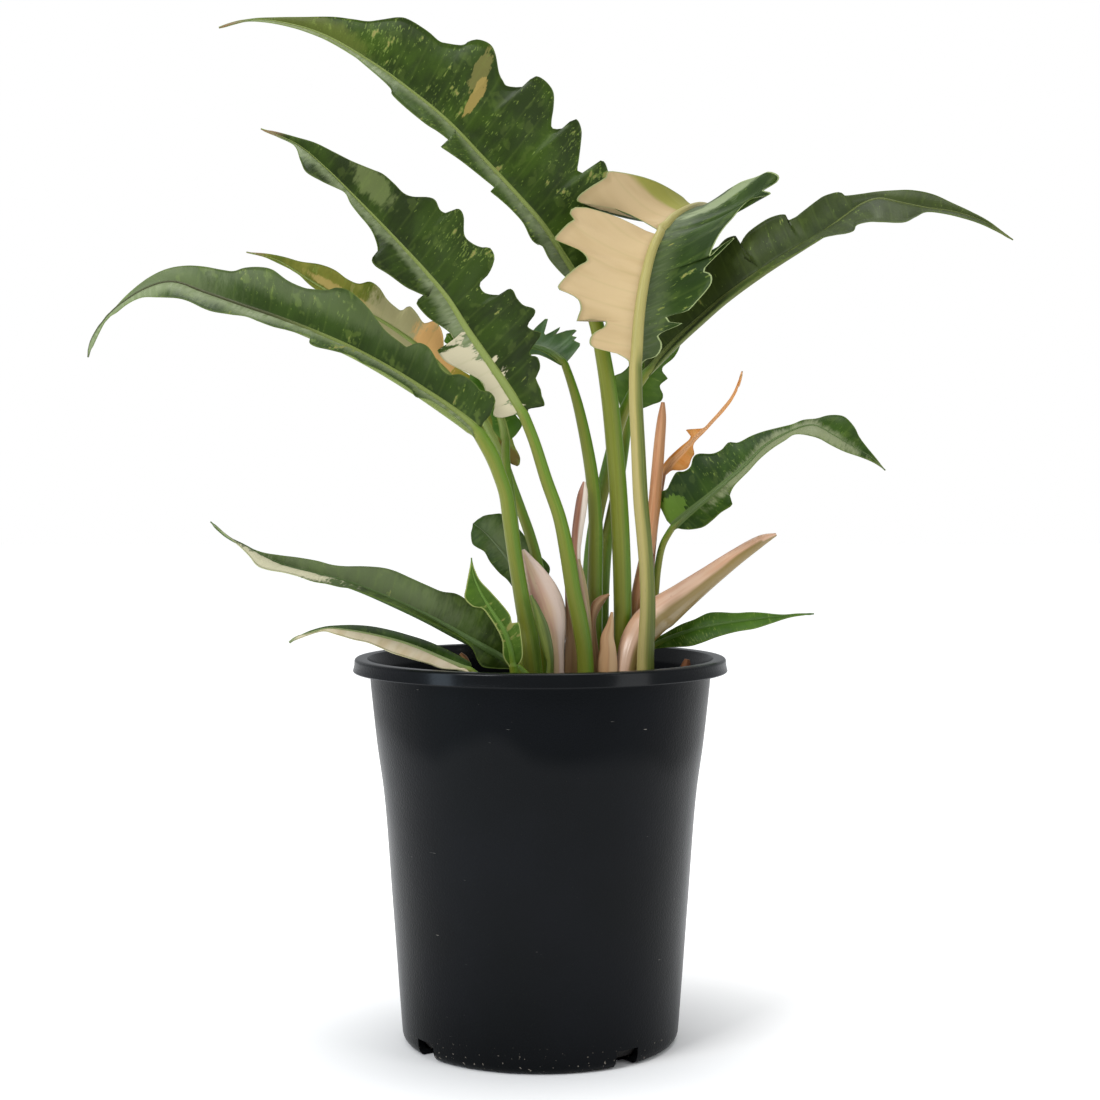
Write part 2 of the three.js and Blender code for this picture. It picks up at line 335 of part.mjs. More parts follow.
// Sheaths and loose bits: [across, up, depth, half width, half thickness] from the mix up
const SHEATHS = {
  sheath_leaning: {
    color: 0xc7a285,
    rows: [[46, 181, -10, 5.5, 4], [47, 200, -9, 6.2, 4.6], [50.5, 212, -6, 7.8, 5],
      [57, 221.5, -1, 9.5, 5], [64, 228, 5, 10.2, 5], [76, 237, 11, 8.1, 4.6], [90, 247.5, 16, 6.2, 4],
      [105, 258.5, 20, 4.7, 3.2], [118, 267, 23, 3.3, 2.2], [126.5, 270.6, 25, 0.9, 0.8]],
  },
  sheath_tall_spear: {
    color: 0xb98068,
    rows: [[50, 181, 20, 4, 4], [50.5, 205, 19.5, 4.3, 4.1], [51.2, 225, 19, 4.1, 3.9],
      [53, 240, 18.5, 3.9, 3.6], [56, 255, 18, 3.7, 3.4], [59, 270, 17.5, 3.5, 3.2],
      [61, 285, 17, 3.4, 3], [62.3, 300, 17, 3.3, 3], [63.9, 320, 16, 3, 2.7],
      [65.1, 333, 15, 2.4, 2.2], [65.7, 341.5, 14, 1, 1]],
  },
  sheath_front: {
    color: 0xbf9c82,
    rows: [[9.8, 181, -14.5, 3, 1.8], [9.8, 200, -14.5, 3, 1.8], [9, 210, -14.5, 4, 1.8],
      [7.5, 220, -14.5, 6.4, 1.8], [5.2, 230, -14.5, 8.2, 1.6], [1.6, 240, -14.8, 7.8, 1.5],
      [-3, 250, -15, 5.4, 1.4], [-6.2, 256.5, -15.2, 3, 1.2], [-9.2, 262.5, -15.5, 0.8, 0.8]],
  },
  sheath_small_spear: {
    color: 0xb98b72,
    rows: [[24.5, 181, -0.5, 2.8, 2.6], [23.5, 215, -0.5, 2.8, 2.6], [21, 240, -1, 2.8, 2.4],
      [19.4, 258, -1, 2.3, 2.1], [19.7, 270, -1, 2.9, 2.2], [21.5, 283, -1, 3.2, 2.2],
      [22.8, 292, -1, 2.8, 1.9], [23.6, 299, -1, 0.8, 0.7]],
  },
  sheath_strip: {
    color: 0xb59479,
    rows: [[26, 181, -8.5, 1.8, 1], [26, 200, -8.5, 1.8, 1], [26.3, 215, -8.5, 1.6, 1],
      [25.3, 228, -8.5, 1.7, 0.9], [23.6, 240, -8.5, 1.9, 0.8], [21.8, 250, -8.5, 1.6, 0.8],
      [20.3, 257.5, -8.5, 0.7, 0.6]],
  },
  sheath_curled: {
    color: 0xa8866a,
    rows: [[31, 181, -4.5, 2, 1], [30.3, 200, -4.5, 2.2, 1], [28.8, 215, -4.5, 1.6, 1],
      [28.4, 225, -4.5, 1.6, 1], [30, 232, -4.5, 2.8, 1], [33, 235.7, -4.5, 2.2, 1],
      [35.2, 237.2, -4.5, 1.3, 0.8], [37, 238.5, -4.5, 0.7, 0.6]],
  },
  sheath_papery: {
    color: 0x9a7650,
    rows: [[36, 181, -13.5, 5.2, 1], [36, 200, -13.5, 5.5, 1], [36.3, 208, -13.5, 4.5, 1],
      [36, 215, -13.5, 3.6, 0.9], [37.5, 222, -13.5, 2, 0.8], [38.5, 229, -13.5, 0.7, 0.6]],
  },
  sheath_tan: {
    color: 0xb09a78,
    rows: [[16.5, 181, -6, 3.4, 1.4], [16.5, 200, -6, 3.6, 1.4], [16.6, 215, -6, 3.2, 1.3],
      [16, 228, -6.5, 2.6, 1.2], [14.8, 240, -7, 1.6, 1], [13.5, 247, -7.5, 0.7, 0.7]],
  },
  sheath_green: {
    color: 0x93974f,
    rows: [[4.5, 181, -28.8, 2.6, 1], [5.3, 200, -28.8, 1.9, 1], [4.8, 205, -28.8, 2.4, 1],
      [3.4, 212, -28.8, 3, 1], [1.2, 221, -29, 3, 0.9], [-1.8, 230, -29, 2, 0.8],
      [-5, 238, -29.4, 0.7, 0.6]],
  },
  dry_stub: {
    color: 0x6b4f3a,
    rows: [[-38, 181, -18, 2, 1.5], [-38.5, 195, -18, 2, 1.4], [-40, 203, -18, 1.6, 1],
      [-43, 206.7, -18, 0.8, 0.6]],
  },
  bark_chip: {
    color: 0xb07a55,
    rows: [[78, 181, 8, 3.5, 1.6], [78, 198, 8, 3.2, 1.5], [79, 203.5, 8, 1.5, 0.8]],
  },
};

// Small helpers

// Catmull-Rom value of a list of numbers or vectors at a position counted in entries
function along(list, position) {
  const last = list.length - 1;
  const at = Math.min(Math.max(position, 0), last);
  const i = Math.min(Math.floor(at), last - 1);
  const f = at - i;
  const [p0, p1, p2, p3] = [-1, 0, 1, 2].map((k) => list[Math.min(Math.max(i + k, 0), last)]);
  return p1.map((v, c) => {
    const from = (p2[c] - p0[c]) / 2;
    const to = (p3[c] - p1[c]) / 2;
    const rise = p2[c] - v;
    return v + f * (from + f * (3 * rise - 2 * from - to + f * (from + to - 2 * rise)));
  });
}

// Straight-line value of a plain list at a share 0 to 1 of its length
function shareOf(list, share) {
  const at = Math.min(Math.max(share, 0), 1) * (list.length - 1);
  const i = Math.min(Math.floor(at), list.length - 2);
  return list[i] + (list[i + 1] - list[i]) * (at - i);
}

function signedVolume(points, faces) {
  let sum = 0;
  for (const [a, b, c] of faces) {
    sum += points[a].dot(new THREE.Vector3().crossVectors(points[b], points[c]));
  }
  return sum / 6;
}

// Closed body lofted through rings with the same number of points, its ends closed by fans
function loft(rings) {
  const points = rings.flat();
  const count = rings[0].length;
  const faces = [];
  for (let i = 0; i + 1 < rings.length; i += 1) {
    for (let j = 0; j < count; j += 1) {
      const a = i * count + j;
      const b = i * count + ((j + 1) % count);
      // the lower half mirrors the upper one, so that both faces split on the same diagonal
      if (j < (count - 4) / 2) {
        faces.push([a, b, a + count], [b, b + count, a + count]);
      } else {
        faces.push([a, b, b + count], [a, b + count, a + count]);
      }
    }
  }
  for (const end of [0, rings.length - 1]) {
    const hub = points.length;
    const middle = rings[end].reduce((sum, p) => sum.add(p), new THREE.Vector3()).divideScalar(count);
    points.push(middle);
    for (let j = 0; j < count; j += 1) {
      const a = end * count + j;
      const b = end * count + ((j + 1) % count);
      faces.push(end === 0 ? [b, a, hub] : [a, b, hub]);
    }
  }
  if (signedVolume(points, faces) < 0) {
    faces.forEach((f) => f.reverse());
  }
  const geometry = new THREE.BufferGeometry();
  geometry.setAttribute('position', new THREE.Float32BufferAttribute(points.flatMap((p) => [p.x, p.y, p.z]), 3));
  geometry.setIndex(faces.flat());
  return geometry;
}

// Leaves

// Shares of the rib's length nearest to each edge point, kept in rising order
function edgeShares(edge, ribSeen, ribShares) {
  const step = 0.004;
  const shares = [];
  let low = 0.004;
  edge.forEach(([u, v, given], n) => {
    let best = Infinity;
    let share = given ?? low;
    if (given === undefined) {
      ribSeen.forEach(([ru, rv], i) => {
        const far = Math.hypot(ru - u, rv - v);
        if (far < best && ribShares[i] >= low - 0.05) {
          best = far;
          share = ribShares[i];
        }
      });
    }
    const room = 0.996 - (edge.length - 1 - n) * step;
    share = Math.min(Math.max(share, low), room);
    shares.push(share);
    low = share + step;
  });
  return shares;
}

// Point of an edge outline at a share of the rib
function edgeAt(edge, shares, share) {
  let i = 0;
  while (i < shares.length - 2 && shares[i + 1] < share) {
    i += 1;
  }
  const f = (share - shares[i]) / (shares[i + 1] - shares[i]);
  return along(edge.map((p) => p.slice(0, 2)), i + Math.min(Math.max(f, 0), 1));
}

function leafGeometry(spec) {
  const fine = 240;
  const ribSeen = [];
  const ribPoints = [];
  for (let i = 0; i <= fine; i += 1) {
    const [u, v, y] = along(spec.rib.map((p) => p.slice(0, 3)), (i / fine) * (spec.rib.length - 1));
    ribSeen.push([u, v, y]);
    ribPoints.push(seen(u, v, y));
  }
  const lengths = [0];
  for (let i = 1; i <= fine; i += 1) {
    lengths.push(lengths[i - 1] + ribPoints[i].distanceTo(ribPoints[i - 1]));
  }
  const ribShares = lengths.map((l) => l / lengths[fine]);
  const ribAt = (share) => {
    let i = 0;
    while (i < fine - 1 && ribShares[i + 1] < share) {
      i += 1;
    }
    const f = Math.min(Math.max((share - ribShares[i]) / (ribShares[i + 1] - ribShares[i]), 0), 1);
    return ribSeen[i].map((value, c) => value + (ribSeen[i + 1][c] - value) * f);
  };

  const aShares = edgeShares(spec.a, ribSeen, ribShares);
  const bShares = edgeShares(spec.b, ribSeen, ribShares);
  const near = (spec.gap ?? STATION_GAP) / lengths[fine];
  const widest = STATION_SPAN / lengths[fine];
  const stations = [0];
  for (const share of [...aShares, ...bShares, 1].sort((p, q) => p - q)) {
    const from = stations[stations.length - 1];
    if (share - from < near && share < 1) {
      continue;
    }
    const parts = Math.ceil((share - from) / widest);
    for (let k = 1; k <= parts; k += 1) {
      stations.push(from + ((share - from) * k) / parts);
    }
  }

  const ribRadius = spec.rib[0][3];
  const blade = stations.map((share) => {
    const [u, v, y] = ribAt(share);
    const middle = seen(u, v, y);
    const ahead = seen(...ribAt(Math.min(share + 0.02, 1)));
    const behind = seen(...ribAt(Math.max(share - 0.02, 0)));
    const tangent = ahead.sub(behind).normalize();
    const radius = Math.max(ribRadius * (1 - share) ** 0.8, 0.3);
    const side = (edge, shares, tilts, reach) => {
      const [eu, ev] = edgeAt(edge, shares, share);
      const out = Math.hypot(eu - u, ev - v);
      const depth = y + out * shareOf(tilts, share) + (reach ? shareOf(reach, share) : 0);
      return seen(eu, ev, depth);
    };
    const a = side(spec.a, aShares, spec.aTilt, spec.aReach);
    const b = side(spec.b, bShares, spec.bTilt, spec.bReach);
    return { share, middle, tangent, radius, a, b };
  });

  // the side of the blade that faces the front is its upper side, unless the leaf shows its back
  const third = blade[Math.floor(blade.length / 3)];
  const facing = new THREE.Vector3().crossVectors(third.a.clone().sub(third.b), third.tangent);
  const turn = (facing.y < 0 ? 1 : -1) * (spec.back ? -1 : 1);

  const start = blade[0];
  const widthAtStart = new THREE.Vector3();
  blade.slice(1, 5).forEach((s) => widthAtStart.add(s.a.clone().sub(s.b).normalize()));
  const rings = [];
  let sideways = widthAtStart.projectOnPlane(start.tangent).normalize();
  const bladeRings = blade.map((s) => {
    const flat = (p) => p.clone().sub(s.middle);
    const grow = Math.min(s.share / START_SHARE, 1);
    const shut = Math.min((1 - s.share) / TIP_SHARE, 1);
    sideways = sideways.projectOnPlane(s.tangent).normalize();
    const out = (p, sign) => {
      const open = flat(p);
      const least = Math.max(s.radius * 1.05, 0.35 + Math.min(1 - s.share, 0.1) * 4.5);
      const stem = sideways.clone().multiplyScalar(sign * least);
      const wide = open.lerpVectors(stem, open, grow * shut);
      return wide.length() < least ? wide.setLength(least) : wide;
    };
    const toA = out(s.a, 1);
    const toB = out(s.b, -1);
    const normalA = new THREE.Vector3().crossVectors(toA, s.tangent).multiplyScalar(turn).normalize();
    const normalB = new THREE.Vector3().crossVectors(s.tangent, toB).multiplyScalar(turn).normalize();
    const normal = normalA.clone().add(normalB);
    if (normal.length() < 0.3) {
      normal.copy(normalA);
    }
    normal.normalize();
    const place = (to, n, share, up) => s.middle.clone().addScaledVector(to, share).addScaledVector(n, up);
    const bulgeA = toA.length() * BLADE_BULGE;
    const bulgeB = toB.length() * BLADE_BULGE;
    const nearA = Math.min((s.radius * 1.1) / toA.length(), 0.45);
    const nearB = Math.min((s.radius * 1.1) / toB.length(), 0.45);
    return [
      place(toB, normalB, 1, BLADE / 2), place(toB, normalB, 0.55, BLADE / 2 + bulgeB),
      place(toA, normal, 0, s.radius * 0.5 + BLADE / 2),
      place(toA, normalA, 0.55, BLADE / 2 + bulgeA), place(toA, normalA, 1, BLADE / 2),
      place(toA, normalA, 1, -BLADE / 2), place(toA, normalA, 0.55, bulgeA - BLADE / 2),
      place(toA, normalA, nearA, -BLADE / 2), place(toA, normal, 0, -s.radius - BLADE / 2),
      place(toB, normalB, nearB, -BLADE / 2), place(toB, normalB, 0.55, bulgeB - BLADE / 2),
      place(toB, normalB, 1, -BLADE / 2),
    ];
  });

  // the stalk's rings carry the blade's first directions down to the mix
  const stalk = spec.stalk.map(([u, v, y, r]) => ({ centre: seen(u, v, y), radius: r }));
  const foot = stalk[0].centre;
  foot.z = ROOT_TOP;
  stalk.unshift({ centre: new THREE.Vector3(foot.x, foot.y, ROOT_LOW), radius: stalk[0].radius });
  const steps = [];
  for (let i = 0; i + 1 < stalk.length; i += 1) {
    const run = stalk[i].centre.distanceTo(stalk[i + 1].centre);
    const parts = i === 0 ? 1 : Math.max(1, Math.round(run / STALK_STEP));
    for (let k = 0; k < parts; k += 1) {
      steps.push(i + k / parts);
    }
  }
  steps.push(stalk.length - 1);
  const rows = stalk.map((s) => [s.centre.x, s.centre.y, s.centre.z, s.radius]);
  rows[1][3] = rows[0][3];
  const centres = steps.map((at) => along(rows, at));
  centres.push([start.middle.x, start.middle.y, start.middle.z, start.radius]);
  const lead = new THREE.Vector3();
  let across = sideways.copy(widthAtStart).projectOnPlane(start.tangent).normalize().clone();
  const stalkRings = [];
  for (let i = centres.length - 2; i >= 0; i -= 1) {
    const [x, y, z, r] = centres[i];
    const next = centres[i + 1];
    const last = centres[Math.max(i - 1, 0)];
    lead.set(next[0] - last[0], next[1] - last[1], next[2] - last[2]).normalize();
    if (i <= 1) {
      lead.set(0, 0, 1);
    }
    across = across.clone().projectOnPlane(lead).normalize();
    const up = new THREE.Vector3().crossVectors(across, lead).multiplyScalar(turn);
    const centre = new THREE.Vector3(x, y, z);
    stalkRings.unshift(STALK_ANGLES.map((degrees) => {
      const angle = THREE.MathUtils.degToRad(degrees);
      return centre.clone().addScaledVector(across, r * Math.cos(angle)).addScaledVector(up, r * Math.sin(angle));
    }));
  }
  rings.push(...stalkRings, ...bladeRings);
  return { geometry: loft(rings), foot: { x: foot.x, y: foot.y, radius: stalk[0].radius } };
}

// Sheaths: flattened rings square to their run
function sheathGeometry(spec) {
  const rows = spec.rows.map(([u, v, y, w, d]) => {
    const centre = seen(u, v, y);
    return [centre.x, centre.y, centre.z, w, d];
  });
  const first = rows[0];
  first[2] = ROOT_TOP;
  rows.unshift([first[0], first[1], ROOT_LOW, first[3], first[4]]);
  const rings = rows.map(([x, y, z, w, d], i) => {
    const next = rows[Math.min(i + 1, rows.length - 1)];
    const last = rows[Math.max(i - 1, 0)];
    const lead = new THREE.Vector3(next[0] - last[0], next[1] - last[1], next[2] - last[2]).normalize();
    if (i <= 1) {
      lead.set(0, 0, 1);
    }
    const across = new THREE.Vector3(1, 0, 0).projectOnPlane(lead);
    if (across.length() < 0.5) {
      across.set(0, 0, -1).projectOnPlane(lead);
    }
    across.normalize();
    const away = new THREE.Vector3().crossVectors(lead, across);
    const ring = [];
    for (let k = 0; k < SHEATH_SIDES; k += 1) {
      const angle = (k / SHEATH_SIDES) * Math.PI * 2;
      ring.push(new THREE.Vector3(x, y, z)
        .addScaledVector(across, w * Math.cos(angle)).addScaledVector(away, d * Math.sin(angle)));
    }
    return ring;
  });
  const radius = Math.max(first[3], first[4]);
  return { geometry: loft(rings), foot: { x: first[0], y: first[1], radius } };
}

// Booleans

function toSolid(geometry) {
  const bare = geometry.clone();
  bare.deleteAttribute('normal');
  bare.deleteAttribute('uv');
  const merged = mergeVertices(bare, 1e-4);
  return new wasm.Manifold(new wasm.Mesh({
    numProp: 3,
    vertProperties: new Float32Array(merged.attributes.position.array),
    triVerts: new Uint32Array(merged.index.array),
  }));
}

function toGeometry(solid) {
  const mesh = solid.getMesh();
  const geometry = new THREE.BufferGeometry();
  geometry.setAttribute('position', new THREE.Float32BufferAttribute(mesh.vertProperties, 3));
  geometry.setIndex(Array.from(mesh.triVerts));
  return geometry;
}

// Pot

// Outer wall from the foot to the neck, [height, radius]
const WALL_ROWS = [[8, 74.6], [73.3, 79.4], [127.5, 83.4], [160, 87.6], [190, 90.8]];
const FOOT_ROUND = 4;

function innerRadius(height) {
  let i = 0;
  while (i < WALL_ROWS.length - 2 && WALL_ROWS[i + 1][0] < height) {
    i += 1;
  }
  const [z0, r0] = WALL_ROWS[i];
  const [z1, r1] = WALL_ROWS[i + 1];
  return r0 + ((r1 - r0) * (height - z0)) / (z1 - z0) - WALL;
}

function potGeometry() {
  const profile = [[0, 0], [FOOT_RADIUS, 0]];
  for (const share of [0.33, 0.67]) {
    const angle = (share * Math.PI) / 2;
    profile.push([
      FOOT_RADIUS + (WALL_ROWS[0][1] - FOOT_RADIUS - 0.4) * Math.sin(angle), FOOT_ROUND * (1 - Math.cos(angle)),
    ]);
  }
  WALL_ROWS.forEach(([z, r]) => profile.push([r, z]));
  const lipLow = POT_HEIGHT - LIP_DEPTH;
  const topLow = POT_HEIGHT - LIP_WALL;
  profile.push(
    [NECK_RADIUS + 0.4, topLow - 2], [NECK_RADIUS + 1.8, topLow], [RIM_RADIUS - LIP_WALL, topLow],
    [LIP_RADIUS - LIP_WALL, lipLow], [LIP_RADIUS, lipLow], [RIM_RADIUS - 0.2, topLow - 1.6],
    [RIM_RADIUS, POT_HEIGHT - 1], [RIM_RADIUS - 1, POT_HEIGHT], [MOUTH_RADIUS + 1, POT_HEIGHT],
    [MOUTH_RADIUS, POT_HEIGHT - 0.8], [NECK_RADIUS - WALL + 0.6, POT_HEIGHT - 5],
  );
  [...WALL_ROWS].reverse().forEach(([z]) => {
    profile.push([innerRadius(z), Math.max(z, FLOOR + FOOT_ROUND)]);
  });
  profile.push([innerRadius(FLOOR + FOOT_ROUND) - FOOT_ROUND + 1, FLOOR], [0, FLOOR]);
  const lathe = new THREE.LatheGeometry(profile.map(([r, z]) => new THREE.Vector2(r, z)), POT_SIDES);
  lathe.rotateX(Math.PI / 2);
  let solid = toSolid(lathe);
  if (solid.volume() < 0) {
    throw new Error('the pot profile runs the wrong way round');
  }
  for (const degrees of NOTCH.turns) {
    const box = new THREE.BoxGeometry(NOTCH.width, NOTCH.deep, NOTCH.high - NOTCH.low);
    box.translate(0, -FOOT_RADIUS, (NOTCH.high + NOTCH.low) / 2);
    box.rotateZ(THREE.MathUtils.degToRad(degrees));
    solid = solid.subtract(toSolid(box));
  }
  return toGeometry(solid);
}

// Potting mix with a plain hole for everything that stands in it
function soilGeometry(feet) {
  const rise = (x, y) => 1.3 * Math.sin(x * 0.21 + 1) * Math.cos(y * 0.17) + 0.7 * Math.sin(x * 0.53 - y * 0.41);
  const low = FLOOR + SOIL_GAP;
  const points = [];
  const faces = [];
  const shares = [1, 0.75, 0.4];
  const ringOf = (radius, height) => {
    for (let j = 0; j < SOIL_SIDES; j += 1) {
      const angle = (j / SOIL_SIDES) * Math.PI * 2;
      const x = radius * Math.cos(angle);
      const y = radius * Math.sin(angle);
      points.push(new THREE.Vector3(x, y, height ?? SOIL_TOP + rise(x, y)));
    }
  };
  const squeeze = Math.cos(Math.PI / POT_SIDES);
  const sides = [[low, innerRadius(FLOOR + FOOT_ROUND) - FOOT_ROUND + 0.6], [FLOOR + FOOT_ROUND + 2, undefined],
    [127.5, undefined]];
  sides.forEach(([z, r]) => ringOf((r ?? innerRadius(z)) * squeeze - SOIL_GAP, z));
  const edge = innerRadius(SOIL_TOP) * squeeze - SOIL_GAP;
  shares.forEach((share) => ringOf(edge * share - (share === 1 ? 0.2 : 0), share === 1 ? SOIL_TOP : undefined));
  const bands = sides.length + shares.length - 1;
  for (let i = 0; i < bands; i += 1) {
    for (let j = 0; j < SOIL_SIDES; j += 1) {
      const a = i * SOIL_SIDES + j;
      const b = i * SOIL_SIDES + ((j + 1) % SOIL_SIDES);
      faces.push([a, b, b + SOIL_SIDES], [a, b + SOIL_SIDES, a + SOIL_SIDES]);
    }
  }
  const floorHub = points.length;
  points.push(new THREE.Vector3(0, 0, low));
  const topHub = points.length;
  points.push(new THREE.Vector3(0, 0, SOIL_TOP + rise(0, 0)));
  const topRing = bands * SOIL_SIDES;
  for (let j = 0; j < SOIL_SIDES; j += 1) {
    const k = (j + 1) % SOIL_SIDES;
    faces.push([k, j, floorHub], [topRing + j, topRing + k, topHub]);
  }
  if (signedVolume(points, faces) < 0) {
    faces.forEach((f) => f.reverse());
  }
  const body = new THREE.BufferGeometry();
  body.setAttribute('position', new THREE.Float32BufferAttribute(points.flatMap((p) => [p.x, p.y, p.z]), 3));
  body.setIndex(faces.flat());
  let solid = toSolid(body);
  for (const { x, y, radius } of feet) {
    const wide = (radius + HOLE_GAP) / Math.cos(Math.PI / HOLE_SIDES);
    const hole = new THREE.CylinderGeometry(wide, wide, HOLE_HIGH - HOLE_LOW, HOLE_SIDES);
    hole.rotateX(Math.PI / 2);
    hole.translate(x, y, (HOLE_HIGH + HOLE_LOW) / 2);
    solid = solid.subtract(toSolid(hole));
  }
  return toGeometry(solid);
}

// Assembly

const part = new THREE.Group();
part.name = 'potted_philodendron';

function addPiece(name, geometry, color, roughness = 0.5) {
  geometry.computeVertexNormals();
  const material = new THREE.MeshStandardMaterial({ color, roughness, metalness: 0 });
  const mesh = new THREE.Mesh(geometry, material);
  mesh.name = name;
  part.add(mesh);
}

const feet = [];
for (const [name, spec] of Object.entries(LEAVES)) {
  const { geometry, foot } = leafGeometry(spec);
  addPiece(name, geometry, spec.color, 0.4);
  feet.push(foot);
}
for (const [name, spec] of Object.entries(SHEATHS)) {
  const { geometry, foot } = sheathGeometry(spec);
  addPiece(name, geometry, spec.color, 0.65);
  feet.push(foot);
}
addPiece('pot', potGeometry(), 0x23262a, 0.45);
addPiece('soil', soilGeometry(feet), 0x2a211b, 0.95);

export default part;
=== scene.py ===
"""Potted philodendron: finished leaves, sheaths, pot and potting mix over the solid model."""

import math
from collections import namedtuple

import bmesh
import bpy
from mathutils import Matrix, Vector, noise


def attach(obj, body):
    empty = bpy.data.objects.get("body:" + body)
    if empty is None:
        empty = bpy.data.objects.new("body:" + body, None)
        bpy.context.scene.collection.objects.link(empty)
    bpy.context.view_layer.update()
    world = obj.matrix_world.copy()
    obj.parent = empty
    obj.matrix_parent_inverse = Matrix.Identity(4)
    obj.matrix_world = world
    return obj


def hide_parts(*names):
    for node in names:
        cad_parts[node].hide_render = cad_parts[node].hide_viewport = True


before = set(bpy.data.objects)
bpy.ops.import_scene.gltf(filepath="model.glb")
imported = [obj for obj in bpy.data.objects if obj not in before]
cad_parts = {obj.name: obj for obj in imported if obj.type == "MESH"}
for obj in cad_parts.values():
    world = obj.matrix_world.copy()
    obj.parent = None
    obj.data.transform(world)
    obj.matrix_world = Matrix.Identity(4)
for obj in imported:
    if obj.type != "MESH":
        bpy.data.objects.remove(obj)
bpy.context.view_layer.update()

# Sizes are in millimetres here and become metres where a mesh is made.
MM = 0.001

# The outline rows below are [across, up] on the plane of the pot's axis, as seen from EYE.
# A depth carries such a point along its line of sight, positive away from the front.
EYE = Vector((5.2, -1050.0, 295.7))
LOOK_DOWN = 0.0318
LENS = 64.05

# Pot
RIM_RADIUS = 99.5
POT_HEIGHT = 205.0
LIP_RADIUS = 100.3
LIP_DEPTH = 7.2
LIP_WALL = 1.8
MOUTH_RADIUS = 92.4
NECK_RADIUS = 91.4
WALL = 1.8
FLOOR = 3.0
FOOT_RADIUS = 72.4
WALL_ROWS = [(8, 74.6), (73.3, 79.4), (127.5, 83.4), (160, 87.6), (190, 90.8)]
POT_SIDES = 160
LIP_ROUND = 1.6
NOTCH_TURNS = (-53, 37, 127, 217)
NOTCH_HALF = 7
NOTCH_DEEP = 11
NOTCH_TOP = 9.0
POT_CREASE = 40

# Potting mix
SOIL_TOP = 184.0
SOIL_SIDES = 72
SOIL_GAP = 0.7
SOIL_FADE = 6
CRUMB_CREASE = 35
ROOT_LOW = 158.0
ROOT_TOP = 187.0

# Blades and stalks
STATION = 1.15
MOST_STATIONS = 260
ACROSS = 9
STALK_SIDES = 16
BLADE_HALF = 0.42
EDGE_HALF = 0.2
BLADE_BULGE = 0.07
START_SHARE = 0.02
TIP_SHARE = 0.03
VEIN_LEAN = 0.15
VEIN_GAP = 9.5
VEIN_PALE = 0.08
QUILT = 0.15
QUILT_FROM_RIB = 6
QUILT_FROM_EDGE = 5
RIPPLE = 0.5
RIPPLE_FROM_RIB = 9
RIB_COVER = 1.05
TIP_HALF = 0.35
TIP_WIDEN = 4.5
TIP_RUN = 0.1
RIB_SINK = 0.25
RIB_PROUD = 0.1
RIB_WIDE = 0.95
CHANNEL_DEPTH = 0.1
CHANNEL_NARROW = 1.6
NO_RIM = 0.05
RIB_STEPS = 240
FEWEST_STATIONS = 40
THINNEST_RIB = 0.3
SHARE_STEP = 0.004
LAST_SHARE = 0.996
SHARE_SLACK = 0.05
LEAD_REACH = 0.02
STALK_STEPS = 8

# Sheaths
SHEATH_SIDES = 20
SHEATH_STEPS = 10

# The surface map holds millimetres divided by this number.
MAP_SCALE = 100

# Leaves. stalk: [across, up, depth, radius] from the mix up. rib: [across, up, depth] from the stalk
# to the tip, the first row with a radius. a and b: the two edges as [across, up], some points with
# the share of the rib's length that they belong to. a_tilt and b_tilt: how fast each half goes back
# (+) or comes forward (-) for each millimetre out from the rib. b_reach, on some leaves: depth added
# to the b edge. back: the underside faces the front.
LEAVES = {}
LEAVES["leaf_01"] = dict(
    stalk=[[44, 181, 8, 5.2], [44.3, 220, 8, 5], [43.9, 250, 9, 5], [42.6, 280, 10, 5],
        [40.5, 310, 11, 4.9], [37.6, 340, 12, 4.7], [33.8, 365, 13, 4.3], [29.5, 385, 13, 3.9]],
    rib=[[22, 402, 13, 3.4], [12, 418, 12], [0, 436, 10], [-12, 450, 8], [-30, 469.5, 4], [-50, 490.5, -2],
        [-70, 507, -8], [-90, 521.5, -14], [-114, 535.5, -20], [-135, 542.3, -24], [-155, 544.4, -27],
        [-171, 540.5, -30]],
    a=[[24, 412], [33, 424], [37, 438], [38, 452], [36, 465], [33.5, 470], [30, 469], [24, 464],
        [20, 464.5], [20.5, 470], [21.5, 478], [22, 486], [19.5, 491.8], [16, 491], [12, 487.3],
        [6.5, 487.2], [6, 491], [7, 498], [7, 506], [3.5, 511.5], [-1.5, 514.7], [-5, 513.5], [-9, 509.3],
        [-17.5, 509.5], [-20, 512.5], [-22, 516.5], [-24, 527], [-27, 532], [-33, 534.3], [-38, 533.3],
        [-41.5, 531.3], [-50, 532.3], [-54, 533.5], [-60, 538.5], [-70, 544.8], [-76, 546], [-85, 544.7],
        [-92, 543.8], [-100, 545], [-110, 546.3], [-125, 546], [-140, 545.9], [-155, 545]],
    a_tilt=[0.25, 0.4, 0.5, 0.5, 0.3],
    b=[[16, 407], [13, 409], [5, 417.5], [1, 424.5], [-1.5, 425.3], [-5, 428.5], [-9, 437], [-15, 443.5],
        [-22, 450], [-26.5, 454], [-24, 455.5], [-30, 460.5], [-40, 468.5], [-48, 474], [-53, 478],
        [-47, 479], [-54, 485], [-61, 489.5], [-72, 498.5], [-79, 505], [-80, 508.5], [-90, 518],
        [-100, 526.2], [-108, 531], [-116, 535], [-135, 541.4], [-155, 543.9]],
    b_tilt=[-1.5, -3, -3.6, -3.2, -1.2],
)
